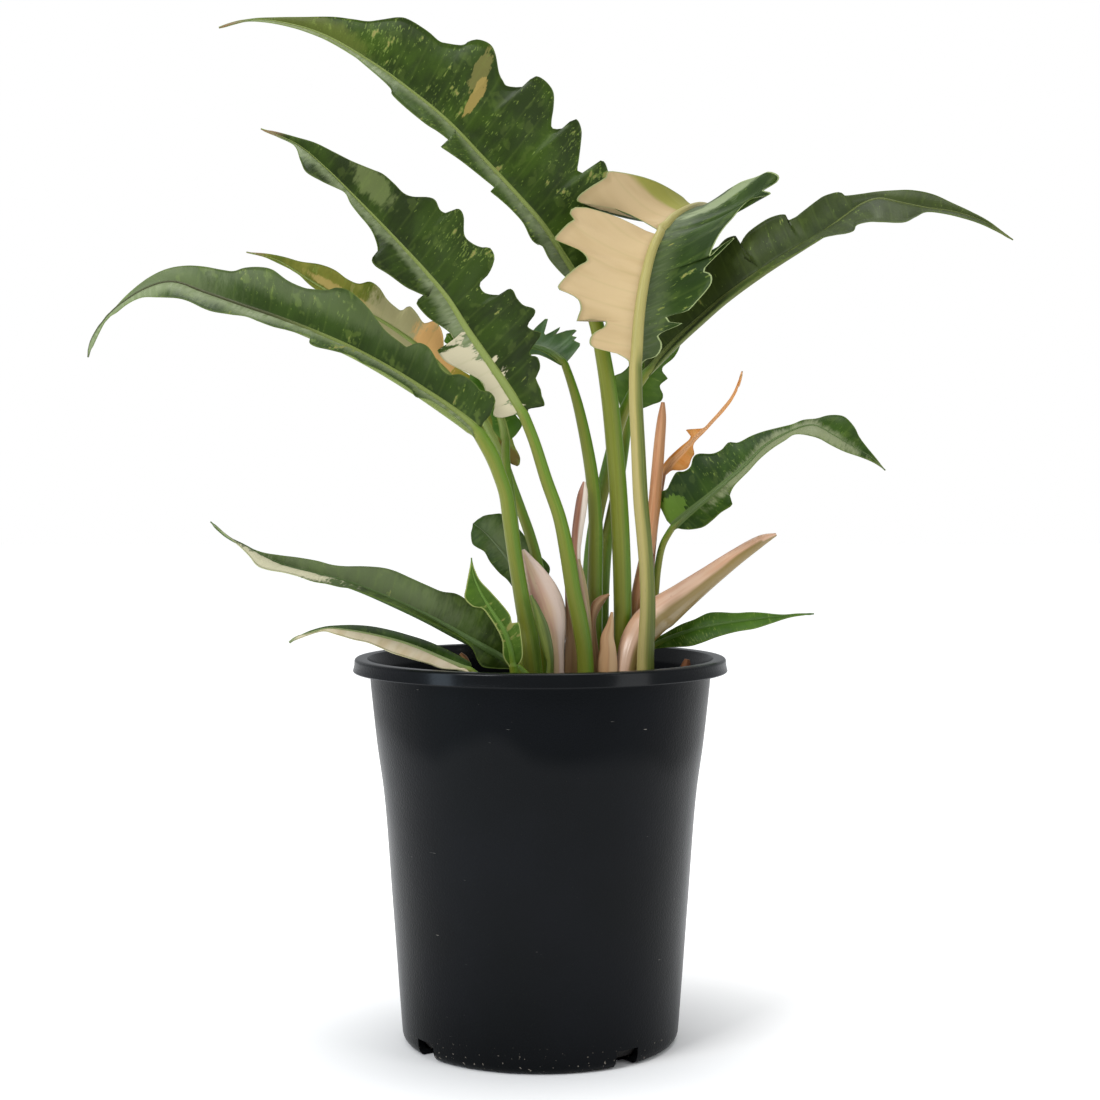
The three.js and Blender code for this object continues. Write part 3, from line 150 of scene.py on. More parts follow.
LEAVES["leaf_02"] = dict(
    stalk=[[24.5, 181, -17, 4.6], [24, 205, -17, 4.4], [22, 220, -17, 4.5], [17.8, 240, -17.5, 4.2],
        [14.5, 260, -18, 4], [10.2, 280, -19, 3.5], [3.2, 300, -20, 3.3], [-3.1, 320, -22, 3]],
    rib=[[-9, 335, -24, 2.9], [-20, 352, -27], [-30, 366.5, -30], [-40, 381, -33], [-50, 396.5, -36],
        [-60, 408.5, -39], [-70, 419.5, -42], [-85, 435.5, -46], [-100, 451, -50], [-115, 466, -54],
        [-130, 478.5, -58], [-149, 487, -62]],
    a=[[-5, 337.3, 0.005], [1.5, 339, 0.02], [2.2, 341.5, 0.035], [0.5, 346, 0.05], [0, 351], [-2.5, 353.5],
        [0, 360], [-1.5, 365.5], [-5, 366.5], [-5.5, 369], [-2, 374], [0.5, 378.3], [-3.5, 379.7],
        [-6.8, 381.8], [-5.8, 384.6], [-3.4, 387.5], [-2.6, 390], [-4, 391.8], [-9, 393.3], [-12.5, 397],
        [-14.5, 401], [-17, 402], [-20, 399.3], [-24, 398.7], [-30, 400], [-32.5, 404.5], [-29, 408],
        [-26, 413], [-24.5, 419], [-27, 423.8], [-31, 424], [-36, 426], [-40.5, 430.5], [-41, 440],
        [-43, 444], [-46, 444.2], [-50, 442.3], [-53.5, 444], [-56, 449], [-60, 450.7], [-68, 451],
        [-73, 453], [-78, 458], [-84, 463], [-90, 465.5], [-101, 470], [-110, 474.5], [-120, 479.5],
        [-130, 482.5], [-140, 485.2]],
    a_tilt=[0.3, 0.45, 0.55, 0.5, 0.3],
    b=[[-12, 334.8], [-15, 334.5], [-20, 333], [-25, 334.5], [-24.5, 341], [-29, 347], [-31, 352],
        [-36, 355.5], [-44, 359.5], [-51, 363.5], [-55, 369.5], [-51, 371.8], [-46, 373.5], [-48, 378],
        [-53, 382], [-60, 387], [-66, 394], [-65, 396.6], [-60, 397.3], [-66, 400], [-72, 403], [-80, 409],
        [-88, 414], [-90, 418], [-87, 421.5], [-87.5, 427], [-90.5, 434], [-97, 442], [-101, 447.5],
        [-104, 453], [-109, 456], [-117, 459.5], [-125, 464], [-128, 470], [-131, 478], [-140, 482.7]],
    b_tilt=[-0.15, -0.25, -1.6, -2.4, -1.2],
)
LEAVES["leaf_03"] = dict(
    stalk=[[-3, 181, -21, 5], [-5, 210, -22, 4.8], [-6.5, 220, -22, 4.6], [-8.8, 230, -23, 4.3],
        [-11.4, 245, -24, 4], [-13.8, 260, -25, 3.9], [-16.3, 278, -27, 3.9], [-18.4, 292, -29, 3.7],
        [-22, 303, -31, 3.6], [-26, 313, -33, 3.8]],
    rib=[[-33, 325, -36, 3.4], [-42, 332.5, -39], [-60, 345, -44], [-80, 357.5, -50], [-100, 368.5, -56],
        [-120, 377.5, -61], [-140, 385.5, -65], [-160, 392.5, -68], [-180, 399.5, -70], [-196, 405, -71],
        [-210, 402, -71], [-225, 393, -70], [-234, 384, -69.5], [-240, 374.5, -69], [-242, 365.5, -68]],
    a=[[-31, 327], [-29.5, 331], [-26, 334], [-23.5, 338], [-24, 343], [-27, 347], [-32, 348], [-34, 350.5],
        [-38, 354], [-43, 356.5], [-49, 356.3], [-53.5, 360], [-56.5, 366], [-60, 371], [-65, 373.3],
        [-69.5, 371.8], [-71.5, 371], [-75, 373.5], [-82, 379], [-87, 385], [-91, 390.5], [-97, 397],
        [-103, 401.5], [-109, 402.6], [-114, 401.3], [-122, 401.8], [-127, 402.8], [-135, 406.5],
        [-143, 412], [-150, 413.4], [-158, 413], [-164, 411.3], [-170, 412], [-180, 413.8], [-190, 414.3],
        [-200, 412.5], [-210, 407.5], [-220, 399.6], [-228, 391.3], [-234, 384.7]],
    a_tilt=[0.05, 0.2, 0.6, 0.6, 0.2],
    b=[[-35, 323.5], [-42, 330.5], [-50, 336.7], [-60, 342.8], [-66.5, 344.4], [-70, 349], [-80, 355.5],
        [-88, 359.8], [-95, 362.5], [-100, 366], [-106, 368], [-113, 369.8], [-120, 371.3], [-123.5, 373.3],
        [-123, 376.5], [-128, 377.8], [-136, 380], [-143, 381.8], [-150, 384.8], [-157, 387.5],
        [-165, 388.3], [-174, 389.5], [-180, 391.5], [-188, 395.5], [-195, 397.3], [-205, 397.6],
        [-213, 397.2], [-220, 394.3], [-226, 389.8], [-233, 384]],
    b_tilt=[-0.8, -2.2, -3.2, -2.6, -0.8],
    b_reach=[0, -18, -12, 0, 0, 0],
)
LEAVES["leaf_04"] = dict(
    stalk=[[2.5, 181, -1, 3.5], [1.5, 235, -1, 3.2], [-1.5, 255, 0, 3], [-5.5, 270, 1, 2.9],
        [-10.8, 285, 2, 2.8], [-15.5, 298, 2, 2.7]],
    rib=[[-19, 309, 3, 2.4], [-25, 322, 6], [-34, 338, 8], [-50, 357, 7], [-65, 371, 5], [-82, 383, 2],
        [-100, 393, -2], [-120, 404.5, -6], [-140, 416.8, -10], [-157, 421.5, -14]],
    a=[[-15.5, 305.3, 0.003], [-11.8, 307, 0.02], [-10.8, 310.5, 0.037], [-11.5, 313.5, 0.054],
        [-13.8, 318, 0.075], [-15.5, 324], [-24, 341], [-32, 351], [-38, 356], [-46, 361], [-51, 368],
        [-52, 377], [-54, 382.3], [-58, 385], [-61, 383.7], [-63, 384.5], [-66, 389], [-70, 392.8],
        [-74, 390.5], [-77, 392], [-82, 396.5], [-86, 402.5], [-91, 405.8], [-97, 404.7], [-103, 407],
        [-110, 412], [-118, 415], [-128, 416.5], [-137, 419], [-146, 420.7]],
    a_tilt=[0.1, 0.2, 0.3, 0.3, 0.2],
    b=[[-20, 307], [-25, 312], [-30, 322], [-34, 331], [-44, 344], [-56, 354], [-66, 362], [-76, 366],
        [-88, 376], [-98, 386], [-108, 394], [-122, 403], [-130, 410.2], [-140, 415.5], [-149, 419.5]],
    b_tilt=[0.1, 0.1, -0.2, -0.3, -0.3],
)
LEAVES["leaf_05"] = dict(
    back=True,
    stalk=[[56.5, 181, -17, 4.8], [56.6, 205, -17, 4.6], [57.7, 230, -17, 4.2], [57.2, 250, -17, 4],
        [55.6, 270, -17, 4], [53.8, 290, -17, 4], [52.3, 320, -17, 3.8], [51.2, 342, -16, 3.7]],
    rib=[[51, 361, -15, 3.5], [52.5, 385, -13], [55, 403, -10], [59, 420, -4], [64, 431, 4], [71, 439, 16],
        [79, 444, 34], [86, 446, 60], [92, 445, 90], [97, 441, 120], [99, 436, 145]],
    a=[[54.5, 362], [58, 364.5, 0.015], [62.3, 366, 0.025], [65, 370.5, 0.035], [64.6, 374, 0.045],
        [63, 377, 0.055], [66.5, 379.3, 0.063], [70.5, 381, 0.07], [76, 383.7, 0.08], [70, 384, 0.088],
        [67.5, 387, 0.094], [73, 388.7, 0.1], [79, 390.3, 0.108], [83.5, 395, 0.118], [88, 400, 0.13],
        [91.5, 405, 0.143], [91.3, 409.8, 0.156], [87.5, 412.2, 0.166], [96, 421.2, 0.18],
        [104.3, 429.5, 0.19], [97, 425, 0.2], [91, 419.3, 0.212], [92.5, 424.5, 0.228],
        [95.5, 430.5, 0.245], [99, 435.5, 0.262], [103, 440, 0.28], [108, 446, 0.296], [113, 449.8, 0.31],
        [121, 451.5, 0.325], [123, 453, 0.335], [119, 454, 0.345], [121, 455.7, 0.355], [126, 458.5, 0.365],
        [127.3, 462, 0.38], [122, 464, 0.395], [116, 461.5, 0.41], [106, 458, 0.44], [98, 452, 0.5],
        [103, 447.5, 0.66], [102, 443, 0.82], [101, 438.5, 0.93]],
    a_tilt=[0.35, 0.2, 0.1, 0, 0, 0, 0],
    b=[[48, 362], [43, 366.5], [37, 368.5], [30, 370], [26.5, 372.5], [27, 376.5], [30, 379.5], [34, 381.5],
        [34.5, 385], [27, 385.8], [19.5, 384.5], [21.5, 391], [20, 396.5], [14, 400], [9.2, 402.5],
        [13.5, 408.5], [20, 414], [25, 417.3], [21, 422.5], [13, 426], [7.5, 428.3], [10.5, 432.5],
        [15, 437], [18, 439], [15.5, 442.5], [18, 445], [23, 445.6, 0.3], [40, 440.6, 0.315],
        [59.5, 431.6, 0.33], [62.5, 433.4, 0.36], [42, 443.8, 0.375], [23, 447.3, 0.385],
        [19.5, 449.5, 0.395], [22, 452.8, 0.405], [28, 457, 0.415], [34.5, 461, 0.425], [36, 464.3, 0.435],
        [43.5, 463.7, 0.45], [50, 462.5, 0.465], [56, 461, 0.48], [63, 458.5, 0.5], [70, 454.5, 0.525],
        [77, 449.5, 0.56], [77, 447, 0.64], [73, 445, 0.74], [77, 442, 0.85], [88, 439, 0.94]],
    b_tilt=[-0.1, -0.15, -0.3, -0.6, -0.3, 0, 0],
)
LEAVES["leaf_06"] = dict(
    stalk=[[27, 181, 30, 4.2], [27, 225, 30, 4.1], [26.5, 245, 29, 4], [27.5, 262, 28, 3.9],
        [30.5, 282, 27, 3.8], [34, 297, 26, 3.7], [37.5, 312, 25, 3.5], [42, 329, 24, 3.3],
        [49, 345.5, 23.5, 2.9]],
    rib=[[56.5, 356.8, 23.5, 2.6], [70, 371.2, 22], [85, 385, 19], [100, 397.8, 15], [120, 412, 8],
        [140, 424.6, -1], [152, 432, -8], [163, 440, -14], [172, 446.5, -19], [181, 449.3, -23],
        [192, 447.3, -27], [206, 444.6, -31], [222, 442.3, -35], [238, 436.8, -39], [252.5, 428, -42]],
    a=[[55, 362], [57, 372], [62, 384], [72, 397], [82, 409], [90, 418], [96, 425.5], [100, 429],
        [104.7, 430], [104, 425.5], [105, 420.6], [107, 426], [111, 432], [120, 438.5], [127, 441.3],
        [131.2, 441.3], [131.3, 438.3], [136, 440], [140, 443], [148, 449], [152, 451.5], [158, 453.3],
        [161, 453], [162.5, 451.6], [170, 452.3], [180, 453.7], [190, 454.5], [197, 454.6], [205, 453.5],
        [212, 451.5], [220, 447.7], [230, 443], [240, 437.6]],
    a_tilt=[0.3, 0.4, 0.5, 0.5, 0.2],
    b=[[61.5, 359.5], [70, 369.3], [80, 378.6], [90, 387.8], [100, 396.3], [110, 404], [120, 410.8],
        [130, 417.2], [140, 423], [150, 428.8], [157, 430.4], [163, 431.3], [167.5, 433], [169, 436],
        [176, 437.8], [183, 437.4], [190, 437.2], [196, 437.7], [201, 440.5], [206, 443], [215, 442.2],
        [225, 439.8], [237, 435.8]],
    b_tilt=[-0.3, -1, -3, -2.2, -0.6],
    b_reach=[0, -8, -24, -16, -4, 0],
)
LEAVES["leaf_07"] = dict(
    stalk=[[55, 181, 25, 2.2], [57, 205, 25, 2.1], [61, 232, 25, 2.1], [63, 252, 23.5, 2],
        [65.7, 265, 21, 1.9]],
    rib=[[71, 274.5, 18, 1.8], [80, 282, 14], [90, 290, 8], [100, 298.5, 3], [110, 307, -2], [120, 317, -6],
        [130, 323.5, -9], [140, 327.8, -12], [148, 328.5, -15], [158, 323, -19], [168, 317.5, -22],
        [177, 312, -25], [185, 305, -27]],
    a=[[68, 276.5], [63.5, 280], [62.8, 286], [64.5, 293], [68, 295], [70, 299], [73, 304], [77, 304.5],
        [80.5, 307], [82, 312], [85, 314], [92, 314], [97, 316], [101, 320], [106, 320], [113, 323.5],
        [120, 326], [128, 328], [135, 329.7], [141, 332], [148, 332.7], [154, 334.3], [160, 334.5],
        [164, 333], [168.5, 328], [171, 323], [175, 317.5], [180, 311.5]],
    a_tilt=[0.2, 0.3, 0.4, 0.6, 0.2],
    b=[[74, 273.7], [80, 273.2], [87, 274.5], [92, 278], [97, 282.5], [102, 285.7], [103, 288],
        [101.5, 291], [103.5, 296], [108, 301], [112, 305], [117, 310.5], [124, 316.5], [131, 321],
        [137, 324.3], [148, 322.8], [156, 318.5], [163, 315], [172, 312], [179, 309]],
    b_tilt=[-0.4, -1.2, -2.2, -1.2, -0.5],
)
LEAVES["leaf_08"] = dict(
    stalk=[[33, 181, 21, 4], [33, 215, 22, 3.9], [33.5, 240, 24, 3.7], [35.5, 265, 27, 3.3],
        [39, 285, 30, 2.9], [43, 303, 33, 2.6], [45.7, 320, 35, 2.3]],
    rib=[[47, 333, 36, 2.1], [51, 346, 36], [56, 359, 37], [62, 373, 39], [68, 388, 42]],
    a=[[52, 337], [60, 340.2], [64.5, 342], [65.7, 345.5], [64, 350.3], [68.3, 354.3], [66.3, 356.5],
        [65.5, 360], [72, 366], [75, 374], [72, 382]],
    a_tilt=[0.2, 0.3, 0.2],
    b=[[43.5, 336], [42, 342], [40, 349], [39.3, 355], [44, 357.5], [48, 362], [51, 371], [58, 381]],
    b_tilt=[0.3, 0.3, 0.2],
)
LEAVES["leaf_09"] = dict(
    back=True,
    stalk=[[29, 181, 9, 4.4], [29.2, 230, 9, 4.3], [29.6, 255, 9, 4.1], [29.8, 272, 9, 3.9],
        [29, 289, 9, 3.7], [27.2, 305, 9, 3.5], [24.2, 322, 9, 3.2], [20.4, 339, 10, 2.8],
        [16.6, 352, 11, 2.4]],
    rib=[[13, 362.2, 13, 2.1], [8.5, 366, 15], [3, 369.3, 18], [-3, 371, 22], [-12, 371, 27],
        [-24, 368.5, 32], [-36, 364, 36]],
    a=[[15.5, 364, 0.01], [18.5, 368, 0.03], [21.3, 371.8, 0.06], [20.8, 373.4, 0.085], [17.5, 374.6, 0.11],
        [19.6, 376.6, 0.14], [16, 377.2, 0.165], [19.7, 380.3, 0.2], [13, 379.6, 0.235], [7, 377.2, 0.27],
        [11.5, 382, 0.3], [5, 378.4, 0.33], [2, 377.8, 0.36], [4, 386.3, 0.41], [-1.5, 382, 0.45],
        [-5, 379, 0.5], [-11, 382], [-16, 379], [-24, 378], [-31, 371]],
    a_tilt=[0.7, 0.5, 0.3],
    b=[[10.5, 361.3], [5, 364.4], [1, 366.2], [-2, 367], [-6, 366.6], [-14, 363.5], [-22, 361], [-32, 360]],
    b_tilt=[-0.4, -0.6, -0.4],
)
LEAVES["leaf_10"] = dict(
    stalk=[[-3, 181, -38, 3], [-6.5, 192, -40, 2.9]],
    rib=[[-13, 199, -43, 2.7], [-22, 205, -47], [-31, 210, -50], [-42, 215.8, -53], [-60, 225.5, -58],
        [-80, 234.8, -63], [-100, 243, -68], [-120, 248.8, -72], [-140, 254.5, -75], [-158, 264, -77],
        [-168, 269.5, -78], [-177, 277.5, -79]],
    a=[[-12, 206], [-12, 216], [-17, 224], [-25, 229], [-33, 231.5], [-38, 233.5], [-41, 236.5], [-46, 239],
        [-53, 240], [-60, 243], [-70, 247.5], [-78, 251], [-85, 252.8], [-95, 253.5], [-105, 253.5],
        [-112, 254.3], [-120, 256.5], [-130, 258.3], [-140, 259.5], [-150, 261.3], [-160, 265.5],
        [-169, 270.3]],
    a_tilt=[0.1, 0.3, 0.5, 0.5, 0.2],
    b=[[-16, 198.3], [-24, 198.5], [-31, 199.5], [-34, 203.5], [-36.5, 209], [-42, 214.2], [-52, 220],
        [-62, 225], [-72, 229.8], [-84, 235], [-100, 241.2], [-108, 242.5], [-115, 244.3], [-122, 245.5],
        [-130, 248], [-138, 250], [-146, 251.6], [-152, 254], [-156, 259], [-161, 264]],
    b_tilt=[-0.2, -0.4, -2, -2.4, -0.6],
    b_reach=[0, -2, -16, -16, -6, 0],
)
LEAVES["leaf_11"] = dict(
    stalk=[[-22, 181, -52, 2.6], [-28, 189, -54, 2.4]],
    rib=[[-38, 197.5, -57, 2.1], [-50, 202.3, -60], [-62, 207.5, -63], [-74, 212, -66], [-88, 215.8, -69],
        [-102, 218.5, -72], [-114, 219.8, -74], [-124, 217.6, -76], [-131, 215.3, -77], [-135, 212.5, -78]],
    a=[[-35, 200], [-40, 203.5], [-47, 207], [-60, 212.7], [-70, 216.2], [-80, 219], [-90, 221],
        [-100, 221.7], [-110, 221.6], [-117, 220.8], [-126, 217.9]],
    a_tilt=[1.2, 1.8, 1.6, 0.6],
    b=[[-44, 197.8], [-53, 198.7], [-60, 201.3], [-70, 204], [-80, 207], [-86, 209.7], [-93, 212.7],
        [-101, 214.4], [-110, 217], [-117, 218.6], [-126, 216]],
    b_tilt=[-1.2, -1.8, -1.6, -0.6],
)
LEAVES["leaf_12"] = dict(
    stalk=[[-13, 181, -54, 2.6], [-13.5, 192, -54, 2.4]],
    rib=[[-14.5, 200, -55, 2.2], [-16.5, 210, -56], [-20, 219.5, -57.5], [-26, 229, -59], [-32, 239, -61],
        [-36, 249, -63], [-37, 258, -65]],
    a=[[-12, 200], [-9.5, 205], [-10, 214], [-11.7, 223.5], [-15, 222.7], [-16.3, 227.3], [-20.5, 233],
        [-27, 240.3], [-32.3, 246], [-35.2, 252]],
    a_tilt=[-0.1, 0.3, 0.3, 0.2],
    b=[[-17, 200], [-20, 205], [-20.5, 213], [-23.5, 220], [-28, 227], [-31.5, 231], [-36.5, 232],
        [-40.7, 236.5], [-40, 242], [-38.5, 250]],
    b_tilt=[-0.2, -0.4, -0.3, 0],
)
LEAVES["leaf_13"] = dict(
    stalk=[[3, 181, 8, 2.6], [2, 205, 9, 2.5], [0, 222, 10, 2.4]],
    rib=[[-4, 236, 12, 2.2], [-12, 249, 14], [-21, 262, 17], [-29, 271, 20], [-36, 276.5, 23]],
    a=[[-1, 240], [3.5, 247], [5.2, 252], [3, 256], [-3, 262], [-10, 272], [-19, 281], [-26, 281.3],
        [-31, 280.3], [-35, 278.7]],
    a_tilt=[0.3, 0.4, 0.2],
    b=[[-9, 238], [-14, 241.5], [-18, 246.5], [-22, 250], [-27, 256], [-30, 261.3], [-34, 263.7],
        [-36.6, 266], [-37.2, 272]],
    b_tilt=[-0.2, -0.3, -0.1],
)
LEAVES["leaf_14"] = dict(
    stalk=[[55, 181, 12.5, 2.2], [56.5, 198, 13, 2.1]],
    rib=[[60, 210.5, 14, 1.9], [70, 215, 13.5], [82, 219, 12], [96, 222, 9], [112, 224.3, 5],
        [128, 226.3, 1], [140, 227.6, -2], [147, 228, -4]],
    a=[[60, 213.5], [66, 217], [75, 222], [83, 225], [90, 228.3], [96, 228.9], [105, 228.4], [113, 228.8],
        [120, 228.5], [130, 227.6], [139, 228.2]],
    a_tilt=[0.4, 0.8, 0.4],
    b=[[63, 209.3], [70, 210], [80, 210.5], [87, 212.5], [95, 215.5], [105, 218.3], [115, 220],
        [123, 222.5], [133, 225.7], [141, 227.2]],
    b_tilt=[-0.4, -0.8, -0.4],
)
LEAVES["leaf_15"] = dict(
    stalk=[[-8, 181, -9, 3.2], [-9, 215, -9, 3], [-11, 245, -9, 2.8], [-14, 275, -11, 2.5],
        [-16.5, 295, -13, 2.4], [-18.3, 309, -13, 2.3]],
    rib=[[-18.5, 321, -13, 2.2], [-20.5, 331, -13], [-25, 343, -12], [-32, 354, -12], [-41, 366, -11],
        [-50, 378, -11]],
    a=[[-15, 321.6], [-11.5, 326], [-9.7, 330], [-13, 334.5], [-17, 341], [-22, 352], [-31, 362],
        [-39, 373], [-46, 379.5]],
    a_tilt=[0.2, 0.2, 0.1],
    b=[[-22, 322.5], [-25.3, 327], [-26.3, 333], [-31, 344], [-38, 350], [-38, 357], [-45, 362],
        [-47.5, 370.5], [-51.5, 374]],
    b_tilt=[0.1, 0.1, 0.1],
)
LEAVES["leaf_withered"] = dict(
    stalk=[[58, 181, 35, 1.6], [58.5, 230, 33, 1.4], [61.5, 270, 30, 1.3], [64.5, 292, 27, 1.2]],
    rib=[[66.5, 303, 25, 1], [71, 309, 23], [76.5, 314.5, 21], [81.5, 320, 19], [86, 324.8, 17],
        [91, 329.8, 15], [97, 336.5, 12], [102, 343, 9], [105.8, 350, 7], [108, 358, 5]],
    a=[[65.5, 307.5], [69, 312], [75, 317.5], [79.8, 321.5], [80.5, 324], [78, 326.6], [84, 327.3],
        [87.5, 327.8], [91, 331.3], [97, 338], [103, 346]],
    a_tilt=[0.3, 0.5, 0.5, 0.2],
    b=[[68, 303], [70.5, 305], [75, 305], [79, 306.5], [81, 311.5], [82.5, 314], [81.8, 317.5], [83, 320.5],
        [88, 325.5], [94, 332], [99, 337.5], [104, 345]],
    b_tilt=[-0.6, -1, -0.6, -0.2],
)

# Sheaths and loose bits: [across, up, depth, half width, half thickness] from the mix up
SHEATHS = {
    "sheath_leaning": [[46, 181, -10, 5.5, 4], [47, 200, -9, 6.2, 4.6], [50.5, 212, -6, 7.8, 5],
        [57, 221.5, -1, 9.5, 5], [64, 228, 5, 10.2, 5], [76, 237, 11, 8.1, 4.6], [90, 247.5, 16, 6.2, 4],
        [105, 258.5, 20, 4.7, 3.2], [118, 267, 23, 3.3, 2.2], [126.5, 270.6, 25, 0.9, 0.8]],
    "sheath_tall_spear": [[50, 181, 20, 4, 4], [50.5, 205, 19.5, 4.3, 4.1], [51.2, 225, 19, 4.1, 3.9],
        [53, 240, 18.5, 3.9, 3.6], [56, 255, 18, 3.7, 3.4], [59, 270, 17.5, 3.5, 3.2],
        [61, 285, 17, 3.4, 3], [62.3, 300, 17, 3.3, 3], [63.9, 320, 16, 3, 2.7], [65.1, 333, 15, 2.4, 2.2],
        [65.7, 341.5, 14, 1, 1]],
    "sheath_front": [[9.8, 181, -14.5, 3, 1.8], [9.8, 200, -14.5, 3, 1.8], [9, 210, -14.5, 4, 1.8],
        [7.5, 220, -14.5, 6.4, 1.8], [5.2, 230, -14.5, 8.2, 1.6], [1.6, 240, -14.8, 7.8, 1.5],
        [-3, 250, -15, 5.4, 1.4], [-6.2, 256.5, -15.2, 3, 1.2], [-9.2, 262.5, -15.5, 0.8, 0.8]],
    "sheath_small_spear": [[24.5, 181, -0.5, 2.8, 2.6], [23.5, 215, -0.5, 2.8, 2.6],
        [21, 240, -1, 2.8, 2.4], [19.4, 258, -1, 2.3, 2.1], [19.7, 270, -1, 2.9, 2.2],
        [21.5, 283, -1, 3.2, 2.2], [22.8, 292, -1, 2.8, 1.9], [23.6, 299, -1, 0.8, 0.7]],
    "sheath_strip": [[26, 181, -8.5, 1.8, 1], [26, 200, -8.5, 1.8, 1], [26.3, 215, -8.5, 1.6, 1],
        [25.3, 228, -8.5, 1.7, 0.9], [23.6, 240, -8.5, 1.9, 0.8], [21.8, 250, -8.5, 1.6, 0.8],
        [20.3, 257.5, -8.5, 0.7, 0.6]],
    "sheath_curled": [[31, 181, -4.5, 2, 1], [30.3, 200, -4.5, 2.2, 1], [28.8, 215, -4.5, 1.6, 1],
        [28.4, 225, -4.5, 1.6, 1], [30, 232, -4.5, 2.8, 1], [33, 235.7, -4.5, 2.2, 1],
        [35.2, 237.2, -4.5, 1.3, 0.8], [37, 238.5, -4.5, 0.7, 0.6]],
    "sheath_papery": [[36, 181, -13.5, 5.2, 1], [36, 200, -13.5, 5.5, 1], [36.3, 208, -13.5, 4.5, 1],
        [36, 215, -13.5, 3.6, 0.9], [37.5, 222, -13.5, 2, 0.8], [38.5, 229, -13.5, 0.7, 0.6]],
    "sheath_tan": [[16.5, 181, -6, 3.4, 1.4], [16.5, 200, -6, 3.6, 1.4], [16.6, 215, -6, 3.2, 1.3],
        [16, 228, -6.5, 2.6, 1.2], [14.8, 240, -7, 1.6, 1], [13.5, 247, -7.5, 0.7, 0.7]],
    "sheath_green": [[4.5, 181, -28.8, 2.6, 1], [5.3, 200, -28.8, 1.9, 1], [4.8, 205, -28.8, 2.4, 1],
        [3.4, 212, -28.8, 3, 1], [1.2, 221, -29, 3, 0.9], [-1.8, 230, -29, 2, 0.8],
        [-5, 238, -29.4, 0.7, 0.6]],
    "dry_stub": [[-38, 181, -18, 2, 1.5], [-38.5, 195, -18, 2, 1.4], [-40, 203, -18, 1.6, 1],
        [-43, 206.7, -18, 0.8, 0.6]],
    "bark_chip": [[78, 181, 8, 3.5, 1.6], [78, 198, 8, 3.2, 1.5], [79, 203.5, 8, 1.5, 0.8]],
}


# Curves


def along(rows, position):
    """Smooth curve through rows of numbers at a position counted in rows."""
    last = len(rows) - 1
    at = min(max(position, 0), last)
    i = min(int(at), last - 1)
    f = at - i
    p0, p1, p2, p3 = (rows[min(max(i + k, 0), last)] for k in (-1, 0, 1, 2))
    out = []
    for a, b, c, d in zip(p0, p1, p2, p3):
        leave = (c - a) / 2
        reach = (d - b) / 2
        rise = c - b
        out.append(b + f * (leave + f * (3 * rise - 2 * leave - reach + f * (leave + reach - 2 * rise))))
    return out


def share_of(values, share):
    """Straight-line value of a plain list at a share of its length."""
    at = min(max(share, 0), 1) * (len(values) - 1)
    i = min(int(at), len(values) - 2)
    return values[i] + (values[i + 1] - values[i]) * (at - i)


def seen(across, up, depth):
    """Point in the frame that is seen at across and up, moved along its line of sight to a depth."""
    k = (depth - EYE.y) / -EYE.y
    return Vector((EYE.x + (across - EYE.x) * k, depth, EYE.z + (up - EYE.z) * k))


def flat_to(v, lead):
    """The part of a vector that is square to lead."""
    return v - lead * v.dot(lead)


def ease(x):
    """Smooth rise from 0 to 1."""
    x = min(max(x, 0), 1)
    return x * x * (3 - 2 * x)


# Meshes


def turns(sides):
    """Even angles once round."""
    return [2 * math.pi * k / sides for k in range(sides)]


def ring_marks(run, sides):
    """Map positions of a ring, its first point again at the end."""
    return [(run / MAP_SCALE, k / sides) for k in range(sides + 1)]


def piece_of(name, points, faces, smooth=True):
    """Object from points in millimetres, at the origin of the frame."""
    mesh = bpy.data.meshes.new(name)
    mesh.from_pydata([p * MM for p in points], [], faces)
    mesh.validate()
    if smooth:
        mesh.polygons.foreach_set("use_smooth", [True] * len(mesh.polygons))
    mesh.update()
    piece = bpy.data.objects.new(name, mesh)
    bpy.context.scene.collection.objects.link(piece)
    return piece


class Body:
    """Points, faces, a surface map and a material number for each face, gathered into one mesh."""

    def __init__(self):
        self.points = []
        self.faces = []
        self.maps = []
        self.slots = []
        self.rims = []

    def grid(self, rows, marks, rims, slot, closed=False, flip=False):
        """Surface over rows of points; marks holds the map position of each point."""
        start = len(self.points)
        wide = len(rows[0])
        for row, rim in zip(rows, rims):
            self.points.extend(row)
            self.rims.extend(rim)
        edge = wide if closed else wide - 1
        for i in range(len(rows) - 1):
            for j in range(edge):
                k = (j + 1) % wide
                corners = [(i, j), (i, k), (i + 1, k), (i + 1, j)]
                uv = [marks[r][c] for r, c in corners]
                if closed and k == 0:
                    turn = marks[i][wide]
                    uv = [marks[i][j], turn, marks[i + 1][wide], marks[i + 1][j]]
                face = [start + r * wide + c for r, c in corners]
                if flip:
                    face.reverse()
                    uv.reverse()
                self.faces.append(face)
                self.maps.append(uv)
                self.slots.append(slot)
        return start

    def wall(self, face, mark, slot, flip=False):
        """One face, all of it at one map position."""
        self.faces.append(face[::-1] if flip else face)
        self.maps.append([mark] * len(face))
        self.slots.append(slot)

    def cap(self, first, count, slot, flip=False):
        """Closed end over a ring of points."""
        self.wall(list(range(first, first + count)), (0, 0), slot, flip)

    def build(self, name, materials):
        piece = piece_of(name, self.points, self.faces)
        mesh = piece.data
        layer = mesh.uv_layers.new(name="surface")
        flat = [n for uv in self.maps for corner in uv for n in corner]
        layer.data.foreach_set("uv", flat)
        rim = mesh.attributes.new("rim", "FLOAT", "POINT")
        rim.data.foreach_set("value", self.rims)
        for material in materials:
            mesh.materials.append(material)
        mesh.polygons.foreach_set("material_index", self.slots)
        return piece


# Leaf shape


